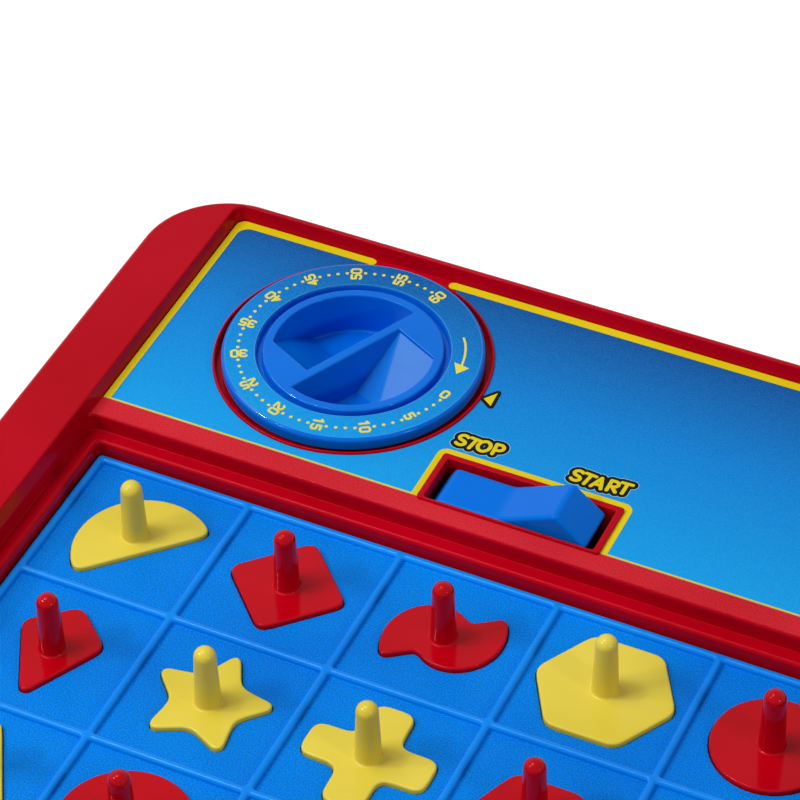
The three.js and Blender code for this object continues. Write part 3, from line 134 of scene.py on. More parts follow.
def corner(x, y, radius, start, steps):
    """A quarter circle about a point; its start is a share of half a turn."""
    turns = [math.pi * (start + 0.5 * i / steps) for i in range(steps + 1)]
    return [(x + radius * math.cos(t), y + radius * math.sin(t)) for t in turns]


def rect_ring(x0, x1, y0, y1, radius, z, steps):
    """A rectangle with round corners at one height."""
    left, right, front, back = x0 + radius, x1 - radius, y0 + radius, y1 - radius
    corners = [(right, front, -0.5), (right, back, 0.0), (left, back, 0.5), (left, front, 1.0)]
    return [(px, py, z) for x, y, start in corners for px, py in corner(x, y, radius, start, steps)]


def rounded_block(name, rect, radius, stages, steps):
    """A rounded rectangle whose inset changes with height; a stage is (height, inset)."""
    x0, x1, y0, y1 = rect
    rings = [rect_ring(x0 + d, x1 - d, y0 + d, y1 - d, max(radius - d, 0.05), z, steps)
             for z, d in stages]
    return loft(name, rings)


def prism(name, outline, z0, z1):
    return loft(name, [[(x, y, z) for x, y in outline] for z in (z0, z1)])


def box(name, x0, x1, y0, y1, z0, z1):
    return prism(name, [(x0, y0), (x1, y0), (x1, y1), (x0, y1)], z0, z1)


def crown(top, radius, steps):
    """Stages of an outer top edge rounded to a radius."""
    return [(top - radius + radius * math.sin(t), radius - radius * math.cos(t)) for t in quarter(steps)]


def mouth(top, radius, steps, above):
    """Stages of a cutter whose mouth leaves a rounded edge; a negative inset is outwards."""
    return [(z, -d) for z, d in crown(top, radius, steps)] + [(top + above, -radius)]


def fillet(floor, radius, steps):
    """Stages of a cutter whose foot leaves a fillet in the corner."""
    return [(floor + radius - radius * math.cos(t), radius - radius * math.sin(t)) for t in quarter(steps)]


def fanned(obj):
    """The caps of a loft as fans round their middle, so that no later cut leaves a face with a hole."""
    bm = bmesh.new()
    bm.from_mesh(obj.data)
    bmesh.ops.poke(bm, faces=[face for face in bm.faces if len(face.verts) > 4])
    bm.to_mesh(obj.data)
    bm.free()
    return obj


def bake(obj):
    """Turns an object's modifiers into its own mesh."""
    depsgraph = bpy.context.evaluated_depsgraph_get()
    mesh = bpy.data.meshes.new_from_object(obj.evaluated_get(depsgraph))
    old = obj.data
    obj.modifiers.clear()
    obj.data = mesh
    bpy.data.meshes.remove(old)


def merge(name, objects):
    """Several objects as one mesh."""
    bm = bmesh.new()
    for obj in objects:
        bm.from_mesh(obj.data)
    mesh = bpy.data.meshes.new(name)
    bm.to_mesh(mesh)
    bm.free()
    for obj in objects:
        bpy.data.objects.remove(obj)
    return linked(name, mesh)


def combine(target, others, operation):
    for other in others:
        step = target.modifiers.new("combine", "BOOLEAN")
        step.operation = operation
        step.solver = "MANIFOLD"
        step.object = other
    bpy.context.view_layer.update()
    bake(target)
    for other in others:
        bpy.data.objects.remove(other)
    return target


def cut(target, *cutters):
    return combine(target, cutters, "DIFFERENCE")


def join(target, *others):
    return combine(target, others, "UNION")


def place(obj, x=0.0, y=0.0, z=0.0, turn=0.0, axis="Z"):
    """Turns a mesh about an axis through the origin and then moves it."""
    obj.data.transform(Matrix.Translation(Vector((x, y, z)) * MM) @ Matrix.Rotation(turn, 4, axis))
    return obj


def soften(obj, angle):
    """Smooth faces with sharp edges where the surface breaks, and flat faces that stay flat."""
    obj.data.shade_smooth()
    obj.data.set_sharp_from_angle(angle=math.radians(angle))
    step = obj.modifiers.new("normals", "WEIGHTED_NORMAL")
    step.keep_sharp = True


def paint(obj, *materials):
    obj.data.materials.clear()
    for material in materials:
        obj.data.materials.append(material)


def paint_two(obj, main, other, chosen):
    """Paints a mesh with its main material, and the faces that a test chooses with another."""
    paint(obj, main, other)
    for face in obj.data.polygons:
        face.material_index = 1 if chosen(face) else 0


def finish(obj, body, slot, *materials, replaces=(), angle=30.0):
    soften(obj, angle)
    if materials:
        paint(obj, *materials)
    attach(obj, body)
    if replaces:
        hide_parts(*replaces)


# Materials

# Noise scales per metre: slow drift of tone, uneven polish, and the faint waves of a moulded face
DRIFT, POLISH, WAVES = 28.0, 140.0, 220.0
# Tints of highlights
WHITE, PINK, SKY, PALE_SKY = (1.0, 1.0, 1.0), (1.0, 0.3, 0.33), (0.3, 0.7, 1.0), (0.9, 1.0, 1.0)


def linear(*rgb):
    """Colour values from 0 to 255 as Blender's linear colour."""
    values = [v / 255 for v in rgb]
    return tuple(v / 12.92 if v <= 0.04045 else ((v + 0.055) / 1.055) ** 2.4 for v in values) + (1.0,)


class Nodes:
    """A material's node tree, with short calls."""

    def __init__(self, name, roughness, shine=0.5, tint=WHITE, metallic=0.0):
        self.material = bpy.data.materials.new(name)
        self.material.use_nodes = True
        self.tree = self.material.node_tree
        self.shader = self.tree.nodes["Principled BSDF"]
        self.connect("Roughness", roughness)
        self.connect("Metallic", metallic)
        self.connect("Specular IOR Level", shine)
        self.connect("Specular Tint", tint + (1.0,))
        self.place = self.tree.nodes.new("ShaderNodeTexCoord").outputs["Object"]

    def feed(self, socket, value):
        """Links an output to a socket, or sets its value."""
        if isinstance(value, bpy.types.NodeSocket):
            self.tree.links.new(value, socket)
        else:
            socket.default_value = value

    def connect(self, name, value):
        self.feed(self.shader.inputs[name], value)

    def node(self, kind, inputs, **settings):
        made = self.tree.nodes.new(kind)
        for key, value in settings.items():
            setattr(made, key, value)
        for key, value in inputs.items():
            self.feed(made.inputs[key], value)
        return made

    def noise(self, scale, detail=2.0):
        made = self.node("ShaderNodeTexNoise", {"Vector": self.place, "Scale": scale, "Detail": detail})
        return made.outputs["Fac"]

    def span(self, value, low, high, to_low, to_high):
        ends = {"From Min": low, "From Max": high, "To Min": to_low, "To Max": to_high}
        return self.node("ShaderNodeMapRange", {"Value": value, **ends}).outputs["Result"]

    def mix(self, factor, first, second):
        """Mixes two colours, which are the node's sockets 6 and 7, and its output 2."""
        return self.node("ShaderNodeMix", {0: factor, 6: first, 7: second}, data_type="RGBA").outputs[2]

    def calculate(self, operation, first, second):
        return self.node("ShaderNodeMath", {0: first, 1: second}, operation=operation).outputs[0]

    def bump(self, height, strength, distance, below=None):
        inputs = {"Height": height, "Strength": strength, "Distance": distance}
        if below is not None:
            inputs["Normal"] = below
        return self.node("ShaderNodeBump", inputs).outputs["Normal"]


def plastic(name, deep, light, roughness, shine=0.12, tint=WHITE, wave=0.008,
            grain=0.0, grain_scale=3000.0, speckle=0.0):
    """Moulded plastic: a slow drift between two tones, uneven polish, and a fine grain with its speckle."""
    nodes = Nodes(name, roughness, shine, tint)
    tone = nodes.span(nodes.noise(DRIFT, 3.0), 0.3, 0.7, 0.0, 1.0)
    colour = nodes.mix(tone, linear(*deep), linear(*light))
    if speckle:
        spots = nodes.span(nodes.noise(grain_scale), 0.35, 0.7, -speckle, speckle)
        inputs = {"Color": colour, "Value": nodes.calculate("ADD", spots, 1.0)}
        colour = nodes.node("ShaderNodeHueSaturation", inputs).outputs["Color"]
    nodes.connect("Base Color", colour)
    smoothest, roughest = max(roughness - 0.04, 0.02), roughness + 0.05
    nodes.connect("Roughness", nodes.span(nodes.noise(POLISH, 4.0), 0.3, 0.7, smoothest, roughest))
    normal = nodes.bump(nodes.noise(WAVES), wave, 0.0004)
    if grain:
        normal = nodes.bump(nodes.noise(grain_scale), grain, 0.0002, normal)
    nodes.connect("Normal", normal)
    return nodes.material


def printed_sheet():
    """Glossy printed label: blue that lightens from the back to the front, with a fine screen of dots."""
    nodes = Nodes("label_print_blue", roughness=0.32, shine=0.07)
    back, front = 129 * MM, 67 * MM
    place = nodes.node("ShaderNodeSeparateXYZ", {"Vector": nodes.place})
    depth = nodes.span(place.outputs["Y"], back, front, 0.0, 1.0)
    ramp = nodes.node("ShaderNodeValToRGB", {"Fac": depth})
    stops = ramp.color_ramp.elements
    stops[0].position, stops[0].color = 0.0, linear(0, 68, 142)
    stops[1].position, stops[1].color = 1.0, linear(8, 154, 226)
    stops.new(0.45).color = linear(0, 124, 206)
    screen = nodes.span(nodes.noise(3200.0, 1.0), 0.35, 0.65, 0.0, 1.0)
    dots = nodes.mix(screen, linear(0, 96, 190), linear(96, 190, 240))
    nodes.connect("Base Color", nodes.mix(0.1, ramp.outputs["Color"], dots))
    nodes.connect("Normal", nodes.bump(nodes.noise(300.0), 0.01, 0.0003))
    return nodes.material


def metal(name, deep, light, roughness):
    """Metal with a drift between two tones, uneven polish and a fine bump."""
    nodes = Nodes(name, roughness, metallic=1.0)
    tone = nodes.span(nodes.noise(60.0, 4.0), 0.35, 0.65, 0.0, 1.0)
    nodes.connect("Base Color", nodes.mix(tone, linear(*deep), linear(*light)))
    polish = nodes.span(nodes.noise(400.0, 3.0), 0.3, 0.7, roughness - 0.06, roughness + 0.1)
    nodes.connect("Roughness", polish)
    nodes.connect("Normal", nodes.bump(nodes.noise(900.0), 0.08, 0.0002))
    return nodes.material


RED = plastic("case_red_gloss", (168, 0, 18), (182, 0, 26), 0.2, 0.12, PINK)
RED_STRIP = plastic("case_red_grained", (194, 32, 44), (208, 42, 54), 0.46, 0.12, PINK,
                    grain=0.2, speckle=0.2)
# Lighter, shinier copy of the dial's blue, painted on one slope of the grip as a reflection
DIAL_PAINTED_REFLECTION = plastic("dial_blue_painted_reflection", (8, 112, 208), (18, 122, 220), 0.12, 1.0, PALE_SKY)
DIAL_BLUE = plastic("dial_blue_gloss", (0, 100, 208), (0, 112, 222), 0.14, 0.2, SKY)
ROCKER_BLUE = plastic("rocker_blue_satin", (0, 102, 210), (0, 113, 222), 0.16, 0.1, SKY)
TRAY_BLUE = plastic("tray_blue_grained", (0, 114, 213), (0, 130, 231), 0.34, 0.14, SKY,
                    grain=0.3, grain_scale=3500.0, speckle=0.36)
# The ridges' blue: smoother and glossier than the cells, and lighter as a painted highlight
RIDGE_BLUE_SMOOTH_LIT = plastic("tray_blue_smooth_painted_highlight", (0, 122, 226), (0, 136, 238), 0.2, 0.3, SKY)
PIECE_RED = plastic("piece_red_gloss", (174, 0, 12), (190, 0, 24), 0.09, 0.24, PINK, wave=0.02)
PIECE_YELLOW = plastic("piece_yellow_gloss", (214, 192, 56), (228, 208, 78), 0.2, 0.2, wave=0.02)
LABEL_BLUE = printed_sheet()
PRINT_YELLOW = plastic("print_yellow", (212, 190, 6), (224, 204, 22), 0.36)
DIAL_YELLOW = plastic("print_pale_yellow", (220, 206, 66), (230, 218, 86), 0.36)
PRINT_BLACK = plastic("print_black", (6, 6, 8), (14, 14, 16), 0.36, shine=0.08)
PRINT_PALE = plastic("print_pale", (150, 205, 235), (170, 215, 240), 0.36)
RING_EDGE = plastic("print_ring_edge", (64, 150, 214), (84, 170, 226), 0.36)
STEEL = metal("steel_bright", (150, 154, 160), (190, 194, 200), 0.3)
BRASS = metal("brass_stamped", (176, 138, 58), (206, 168, 84), 0.34)
NYLON = plastic("nylon_white", (220, 214, 200), (236, 232, 222), 0.5, shine=0.4)


# Upper case

def panel_outline(inset):
    """The label's outline: rounded at the back corners, square at the front."""
    side, back = POCKET_X - inset, POCKET_BACK - inset
    x, y = side - POCKET_CORNER, back - POCKET_CORNER
    front = [(-side, PANEL_FRONT), (side, PANEL_FRONT)]
    return front + corner(x, y, POCKET_CORNER, 0.0, 8) + corner(-x, y, POCKET_CORNER, 0.5, 8)


def room():
    """The upper case's hollow, with a wall round everything sunk into it."""
    side, tube, dial_wall = POCKET_X + WALL, WELL + 2, 30.6
    hollow = rounded_block("room", ROOM_RECT, CORNER - WALL, [(10, 0), (TOP - WALL, 0)], 20)
    return cut(hollow,
               box("panel_wall", -side, side, STRIP_FRONT, HALF_Y, PANEL - WALL, ABOVE),
               box("ledge_wall", -side, side, POCKET_FRONT - WALL, STRIP_FRONT + WALL, LEDGE - WALL, ABOVE),
               box("well_wall", -tube, tube, TRAY_Y - tube, TRAY_Y + tube, 24, ABOVE),
               lathe("dial_wall", [(dial_wall, PANEL - 3.9), (dial_wall, ABOVE)], *DIAL))


def pocket_cutter():
    """The pocket, whose wall leans outwards and rolls over into the flange."""
    edge, slope = 0.5, 0.8 / 3.4
    lean = math.atan(slope)
    start = (TOP - edge + edge * math.sin(lean) - PANEL) * slope
    centre = start + edge * math.cos(lean)
    turns = [lean + (math.pi / 2 - lean) * i / 6 for i in range(7)]
    roll = [(TOP - edge + edge * math.sin(t), -(centre - edge * math.cos(t))) for t in turns]
    rect = (-POCKET_X, POCKET_X, POCKET_FRONT, POCKET_BACK)
    return rounded_block("pocket", rect, POCKET_CORNER, [(PANEL, 0.0)] + roll + [(ABOVE, -centre)], 8)


def ledge_cutter():
    """The ledge's pocket: square at the flange, filleted at its foot, rounded where the strip starts."""
    x0, x1, y0, y1 = -POCKET_X, POCKET_X, POCKET_FRONT, STRIP_FRONT
    rings = [rect_ring(x0 + d, x1 - d, y0 + d, y1 - d, POCKET_CORNER - d, z, 8)
             for z, d in fillet(LEDGE, 0.2, 4)]
    rings += [rect_ring(x0, x1, y0, y1 - d, POCKET_CORNER, z, 8) for z, d in mouth(PANEL, 0.7, 6, 4)]
    return loft("ledge", rings)


def well_cutter():
    rect = (-WELL, WELL, TRAY_Y - WELL, TRAY_Y + WELL)
    return rounded_block("well", rect, 1.0, [(8, 0), (30, 0)] + mouth(LEDGE, 0.9, 7, 3), 4)


def seat_cutter():
    """The label's seat, without the gap behind the dial."""
    seat = prism("seat", panel_outline(-0.05), PANEL - 0.45, ABOVE)
    half = GAP + 0.1
    return cut(seat, box("gap", DIAL[0] - half, DIAL[0] + half, DIAL[1] + 20, POCKET_BACK + 1, PANEL - 3, 70))


def dial_bead():
    """The low bead round the dial's well."""
    turns = [math.pi * i / 10 for i in range(11)]
    top = [(BEAD + 0.3 * math.cos(t), PANEL + 0.15 + 0.35 * math.sin(t)) for t in turns]
    return lathe("bead", [(DIAL_WELL, PANEL - 3), (BEAD_OUT, PANEL - 3)] + top, *DIAL, 160, closed=True)


def slot_lip():
    """The raised lip round the rocker's slot, with a skirt that hangs below the panel."""
    x0, x1, y0, y1 = SLOT_RECT
    rect = (x0 - LIP, x1 + LIP, y0 - 0.6, y1 + LIP)
    return rounded_block("lip", rect, 0.7, [(PANEL - 8, 0)] + crown(PANEL + LIP_RISE, 0.22, 3), 4)


def slot_cutters():
    """The slot, and the longer room below the panel in which the rocker's ends swing."""
    x0, x1, y0, y1 = SLOT_RECT
    slot = rounded_block("slot", SLOT_RECT, 0.6, [(30, 0)] + mouth(PANEL + LIP_RISE, 0.25, 4, 3), 4)
    return slot, box("swing", x0 - 3, x1 + 3, y0, y1, 30, PANEL - 2.6)


def upper_case():
    foot, lap = SEAM + 0.1, 0.8
    stages = [(foot, lap), (foot + 1.0, lap), (foot + 1.8, 0.0)] + crown(TOP, 1.2, 8)
    body = rounded_block("upper_case_moulding", CASE_RECT, CORNER, stages, 28)
    cut(body, room())
    cut(body, pocket_cutter(), ledge_cutter(), well_cutter(), seat_cutter())
    join(body, dial_bead(), slot_lip())
    dial_well = lathe("dial_well", [(DIAL_WELL, PANEL - 1.5), (DIAL_WELL, ABOVE)], *DIAL, 160)
    hole = 19.2
    dial_hole = lathe("dial_hole", [(hole, 30), (hole, ABOVE)], *DIAL, 120)
    cut(body, *slot_cutters(), dial_well, dial_hole)

    def on_strip(face):
        y, z = face.center.y / MM, face.center.z / MM
        return abs(z - PANEL) < 0.05 and STRIP_FRONT < y < PANEL_FRONT + 0.2

    paint_two(body, RED, RED_STRIP, on_strip)
    finish(body, "case", "case_red", replaces=["upper_case"])


upper_case()


# Outlines of the prints

def anticlockwise(outline):
    """The outline in anticlockwise order."""
    area = sum(p[0] * q[1] - q[0] * p[1] for p, q in zip(outline, outline[1:] + outline[:1]))
    return outline if area > 0 else outline[::-1]


def flat_solid(name, shapes, z0, z1):
    """The union of flat outlines as one thin solid with straight sides."""
    points, loops = [], []
    for shape in shapes:
        loops.append(list(range(len(points), len(points) + len(shape))))
        points.extend(Vector(p) for p in anticlockwise(shape))
    inside_only, weld = 1, 0.0001
    merged = geometry.delaunay_2d_cdt(points, [], loops, inside_only, weld)
    flat = merged[0]
    triangles = [list(tri) for tri, parents in zip(merged[2], merged[5]) if parents]
    edges = {(a, b): True for tri in triangles for a, b in zip(tri, tri[1:] + tri[:1])}
    count = len(flat)
    faces = [tuple(v + count for v in tri) for tri in triangles]
    faces += [tuple(reversed(tri)) for tri in triangles]
    faces += [(a, b, b + count, a + count) for a, b in edges if (b, a) not in edges]
    return mesh_object(name, [(p[0], p[1], z) for z in (z0, z1) for p in flat], faces)


def stadium(a, b, radius, steps=7):
    """A stroke from one point to another with round ends."""
    turn = math.atan2(b[1] - a[1], b[0] - a[0])
    points = []
    for centre, start in ((b, turn - math.pi / 2), (a, turn + math.pi / 2)):
        for i in range(steps + 1):
            t = start + math.pi * i / steps
            points.append((centre[0] + radius * math.cos(t), centre[1] + radius * math.sin(t)))
    return points


def strokes(path, radius):
    return [stadium(a, b, radius) for a, b in zip(path, path[1:])]


def arc(cx, cy, rx, ry, start, end, steps=8):
    turns = [math.radians(start + (end - start) * i / steps) for i in range(steps + 1)]
    return [(cx + rx * math.cos(t), cy + ry * math.sin(t)) for t in turns]


def from_dial(points):
    """Points given from the dial's axis."""
    return [(DIAL[0] + x, DIAL[1] + y) for x, y in points]


# Digits and letters as pen paths in a box one unit high
DIGITS = {
    "0": [[(0.14, 0), (0.5, 0), (0.64, 0.14), (0.64, 0.86), (0.5, 1), (0.14, 1), (0, 0.86), (0, 0.14),
           (0.14, 0)]],
    "1": [[(0.1, 0.8), (0.36, 1), (0.36, 0)]],
    "2": [[(0, 0.86), (0.14, 1), (0.5, 1), (0.64, 0.86), (0.64, 0.6), (0, 0.14), (0, 0), (0.64, 0)]],
    "3": [[(0, 0.88), (0.14, 1), (0.5, 1), (0.64, 0.86), (0.64, 0.62), (0.52, 0.52), (0.2, 0.52)],
          [(0.52, 0.52), (0.64, 0.4), (0.64, 0.14), (0.5, 0), (0.14, 0), (0, 0.12)]],
    "4": [[(0.5, 0), (0.5, 1), (0, 0.32), (0.68, 0.32)]],
    "5": [[(0.62, 1), (0.04, 1), (0.04, 0.56), (0.5, 0.56), (0.64, 0.42), (0.64, 0.14), (0.5, 0), (0.14, 0),
           (0, 0.1)]],
    "6": [[(0.6, 1), (0.16, 1), (0, 0.84), (0, 0.14), (0.14, 0), (0.5, 0), (0.64, 0.14), (0.64, 0.44),
           (0.5, 0.56), (0, 0.56)]],
}
LETTERS = {
    "S": [arc(0.36, 0.75, 0.3, 0.25, 35, 270) + arc(0.36, 0.25, 0.32, 0.25, 90, -145)],
    "T": [[(0.0, 1.0), (0.74, 0.97)], [(0.38, 0.98), (0.34, 0.0)]],
    "O": [arc(0.42, 0.5, 0.42, 0.5, 0, 360, 16)],
    "P": [[(0.08, 0.0), (0.06, 1.0)], [(0.06, 1.0)] + arc(0.34, 0.7, 0.3, 0.29, 80, -90) + [(0.08, 0.42)]],
    "A": [[(0.0, 0.0), (0.36, 1.0), (0.72, 0.0)], [(0.14, 0.3), (0.6, 0.3)]],
    "R": [[(0.08, 0.0), (0.06, 1.0)], [(0.06, 1.0)] + arc(0.34, 0.72, 0.3, 0.27, 80, -90) + [(0.08, 0.45)],
          [(0.3, 0.44), (0.68, 0.0)]],
}
# For each letter of a word, its left foot from the dial's axis and its turn in degrees
WORDS = {
    "STOP": [(29.75, -15.0, -2), (32.15, -15.1, -3), (34.5, -15.0, 2), (37.9, -14.8, 6)],
    "START": [(55.05, -15.0, -2), (57.4, -15.1, -3), (59.9, -15.2, 0), (63.0, -15.0, 3), (65.4, -14.7, 5)],
}
LETTER_SIZE, LETTER_LEAN = 3.0, 0.08
# Half widths of a letter's yellow stroke and of its black and pale outlines
PEN, BLACK_PEN, PALE_PEN = 0.4, 1.15, 1.27


# Label and its prints

def label():
    low, high, margin = PANEL - 3, PANEL + 3, LIP + 0.05
    sheet = prism("panel_label_sheet", panel_outline(0.15), PANEL - 0.4, PANEL)
    hole = lathe("hole", [(BEAD_OUT + 0.05, low), (BEAD_OUT + 0.05, high)], *DIAL, 160)
    half = SLOT[0] / 2 + margin
    front, back = PANEL_FRONT - 2, SLOT_RECT[3] + margin
    notch = box("notch", ROCKER[0] - half, ROCKER[0] + half, front, back, low, high)
    gap = box("gap", DIAL[0] - GAP, DIAL[0] + GAP, DIAL[1] + 27, POCKET_BACK + 1, low, high)
    cut(sheet, hole, notch, gap)
    finish(sheet, "case", "label_blue", LABEL_BLUE, replaces=["panel_label"])


def border_shapes():
    """Yellow border, broken behind the dial, with thin front lines and an arch round the slot."""
    margin, bend, fold = 0.2, 2, 2.6
    left, right = -POCKET_X + margin - DIAL[0], POCKET_X - margin - DIAL[0]
    back, front = POCKET_BACK - margin - DIAL[1], PANEL_FRONT + 0.05 - DIAL[1]
    wide, deep, line = 1.5, 2.0, 0.4
    tip_y = back - deep / 2 - 0.1
    shapes = []
    for side, outer, tip, start in ((1, left, -9.6, 180), (-1, right, 9.6, 0)):
        inner = outer + side * wide
        outside = arc(outer + side * bend, back - bend, bend, bend, start, 90)
        inside = [(inner + side * fold * (1 - math.cos(t)), back - deep - fold * (1 - math.sin(t)))
                  for t in reversed(quarter(6))]
        end = [(tip, back), (tip, back - deep)]
        shapes.append([(outer, front)] + outside + end + inside + [(inner, front)])
        shapes.append(stadium((tip - side * 0.2, tip_y), (tip, tip_y), deep / 2))
    for x0, x1 in ((left, 28.6), (69.6, right)):
        shapes.append([(x0, front), (x1, front), (x1, front + line), (x0, front + line)])
    x0, x1, y1, wide = 27.95, 70.35, -17.0, 1.9
    arch = arc(x0 + bend, y1 - bend, bend, bend, 180, 90) + arc(x1 - bend, y1 - bend, bend, bend, 90, 0)
    opening = [(x1 - wide, front), (x1 - wide, y1 - wide), (x0 + wide, y1 - wide), (x0 + wide, front)]
    shapes.append([(x0, front)] + arch + [(x1, front)] + opening)
    return [from_dial(shape) for shape in shapes]


def letter_path(path, x, y, turn):
    """A pen path scaled, slanted and turned, with its foot at a place from the dial's axis."""
    cos, sin = math.cos(turn), math.sin(turn)
    slanted = [((u + LETTER_LEAN * v) * LETTER_SIZE, v * LETTER_SIZE) for u, v in path]
    return [(DIAL[0] + x + cos * u - sin * v, DIAL[1] + y + sin * u + cos * v) for u, v in slanted]


def word_shapes(pen):
    """Both words, in strokes of a half width."""
    shapes = []
    for word, places in WORDS.items():
        for letter, (x, y, turn) in zip(word, places):
            for path in LETTERS[letter]:
                shapes += strokes(letter_path(path, x, y, math.radians(turn)), pen)
    return shapes


def prints():
    """Words, border and the pointer beside the dial, in three layers."""
    pointer = from_dial([(29.9, -0.45), (32.1, -1.95), (31.9, 2.2)])
    outline = [stadium(a, b, 0.75) for a, b in zip(pointer, pointer[1:] + pointer[:1])]
    layers = [
        ("label_print_edge", word_shapes(PALE_PEN), 0.02, PRINT_PALE),
        ("label_print_black", word_shapes(BLACK_PEN) + outline + [pointer], 0.04, PRINT_BLACK),
        ("label_print_yellow", border_shapes() + word_shapes(PEN) + [pointer], 0.06, PRINT_YELLOW),
    ]
    for name, shapes, rise, colour in layers:
        finish(flat_solid(name, shapes, PANEL - 0.1, PANEL + rise), "case", "label_blue", colour)


label()
prints()


# Dial

# Heights of the dial's top and of its printed ring from the panel, and the ring's radii
DIAL_TOP, RING_FOOT, RING_TOP = 2.4, 2.15, 2.4
RING_IN, RING_OUT = 20.5, 26.85
# Degrees of the dial's 0 and from one number to the next, and how many numbers there are
FIRST_MINUTE, MINUTE_STEP, MINUTES = -12, 23.4, 13


def dial_profile():
    """The dial's half section: hub and tube, outer rim, seat of the ring, groove and inner rim."""
    rim, edge = 1.05, 0.45
    hub = [(5.0, -13.0), (5.0, -9.2), (18.0, -9.2), (18.0, -0.9), (26.9, -0.9), (27.5, -0.3)]
    turns = [math.radians(9 * i) for i in range(8)]
    lip = [(26.45 + rim * math.cos(t), 1.45 + rim * math.sin(t)) for t in turns]
    seat = [(26.87, 2.38), (26.87, 2.1), (20.3, 2.1), (20.25, 2.0)]
    groove = [(20.2, 0.9), (20.05, 0.6), (19.15, 0.6), (18.95, 0.8)]
    inner = [(18.9 - edge + edge * math.cos(t), DIAL_TOP - edge + edge * math.sin(t)) for t in quarter(6)]
    return hub + lip + seat + groove + inner


def grip_cutter(turn):
    """A finger pocket: arc wall, straight ridge side and a long sloping end, rounded at mouth and foot."""
    depth, radius, step, far = 10.0, 16.9, 0.85, 24.0
    floor = DIAL_TOP - depth
    end_foot, end_run, side_foot, side_top = 1.8, 11.3, 2.6, 1.05
    end_slope, side_slope = (end_run + end_foot) / (depth - step), (side_foot - side_top) / depth
    spread = 1.25
    levels = [(z, -d) for z, d in fillet(floor, 0.7, 4)] + [(DIAL_TOP - step, 0.0)]
    levels += [(z, -d) for z, d in mouth(DIAL_TOP, 0.35, 5, 3.0)]
    rings = []
    for z, out in levels:
        rise = min(z, DIAL_TOP) - floor
        end = end_foot - end_slope * min(rise, depth - step) - out * spread
        side = side_foot - side_slope * rise - out
        rings.append([(end, side, z), (far, side, z), (far, far, z), (end, far, z)])
    wedge = loft("wedge", rings)
    drum = lathe("drum", [(radius + out, z) for z, out in levels], steps=192)
    combine(wedge, [drum], "INTERSECT")
    return place(wedge, turn=turn)


def timer_dial():
    """The dial; the slope of its grip that faces the front carries a painted reflection, a lighter and
    shinier copy of its blue.
    """
    body = lathe("timer_dial_moulding", dial_profile(), steps=192)
    bore = lathe("bore", [(2.8, -16), (2.8, -10)], steps=48)
    cut(body, bore, grip_cutter(0.0), grip_cutter(math.pi))
    place(body, *DIAL, PANEL, GRIP_TURN)
    rise, closeness = 1.31, 0.99
    slope = Vector((-math.cos(GRIP_TURN), -math.sin(GRIP_TURN), rise)).normalized()
    # Faces that turn towards the front slope take the painted reflection
    paint_two(body, DIAL_BLUE, DIAL_PAINTED_REFLECTION, lambda face: face.normal.dot(slope) > closeness)
    finish(body, "dial", "dial_blue", replaces=["timer_dial"])


def dial_ring():
    """The printed ring; its narrow faces, the sides and a thin band along each top edge, are paler."""
    edge, narrow = 0.09, 2.5 * MM * MM
    foot, top = PANEL + RING_FOOT, PANEL + RING_TOP
    profile = [(RING_IN, foot), (RING_OUT, foot), (RING_OUT, top)]
    profile += [(RING_OUT - edge, top), (RING_IN + edge, top), (RING_IN, top)]
    ring = lathe("dial_label_ring", profile, *DIAL, 160, closed=True)
    paint_two(ring, LABEL_BLUE, RING_EDGE, lambda face: face.area <= narrow)
    finish(ring, "dial", "label_blue", replaces=["dial_label"])


def minute_shapes(minute):
    """A number, read outwards from the axis, and the four dots up to the next one."""
    advance, space, pen = 1.86, 0.25, 0.26
    wide, high, margin = 2.0, 1.95, 0.06
    middle, dot_ring, dot_radius = 23.75, 24.05, 0.37
    turn = math.radians(FIRST_MINUTE - MINUTE_STEP * minute)
    cos, sin = math.cos(turn), math.sin(turn)
    text = str(5 * minute)
    start = middle - (advance * len(text) - space) / 2 + 0.1
    shapes = []
    for count, digit in enumerate(text):
        radius = start + advance * count
        for path in DIGITS[digit]:
            moved = [(radius + (u * wide + margin), (v - 0.5) * high) for u, v in path]
            shapes += strokes(from_dial([(u * cos - v * sin, u * sin + v * cos) for u, v in moved]), pen)
    if minute < MINUTES - 1:
        for dot in range(1, 5):
            t = math.radians(FIRST_MINUTE - MINUTE_STEP * (minute + dot / 5))
            centre = (DIAL[0] + dot_ring * math.cos(t), DIAL[1] + dot_ring * math.sin(t))
            shapes.append(stadium(centre, centre, dot_radius, 9))
    return shapes


def dial_numbers():
    """The numbers, their dots, and the arrow that shows which way to turn."""
    shapes = [shape for minute in range(MINUTES) for shape in minute_shapes(minute)]
    arrow = [(19.6, 12.4), (20.6, 11.0), (21.4, 9.4), (22.2, 7.1), (22.7, 4.6)]
    shapes += strokes(from_dial(arrow), 0.24)
    shapes.append(from_dial([(20.9, 4.8), (22.75, 1.7), (24.5, 4.3)]))
    top = PANEL + RING_TOP
    finish(flat_solid("dial_numbers", shapes, top - 0.1, top + 0.05), "dial", "label_blue", DIAL_YELLOW)


timer_dial()
dial_ring()
dial_numbers()


# Rocker

def rocker_outline():
    """The rocker's side about its pin: a valley between two peaks, and ends that slope outwards."""
    reach, valley, fall, end = 12.4, 12.36, 9.6, math.radians(49.3)
    peak = (reach * math.cos(ROCKER_TILT), valley + reach * math.sin(ROCKER_TILT))
    foot = (peak[0] + fall * math.cos(end), peak[1] - fall * math.sin(end))
    # How much further out the peaks and how much lower the valley are in the photo than in the CAD solid
    far, low, longer = 1.0, 0.7, 0.8
    outline = [(-4.0, -2.0), (0.0, -4.0), (4.0, -2.0), (foot[0] + longer / 2, foot[1])]
    outline += [(peak[0] + longer, peak[1]), (-low, valley - low)]
    outline += [(-peak[0] - far, peak[1] + far * math.tan(ROCKER_TILT) - low), (-foot[0] - far, foot[1])]
    return outline


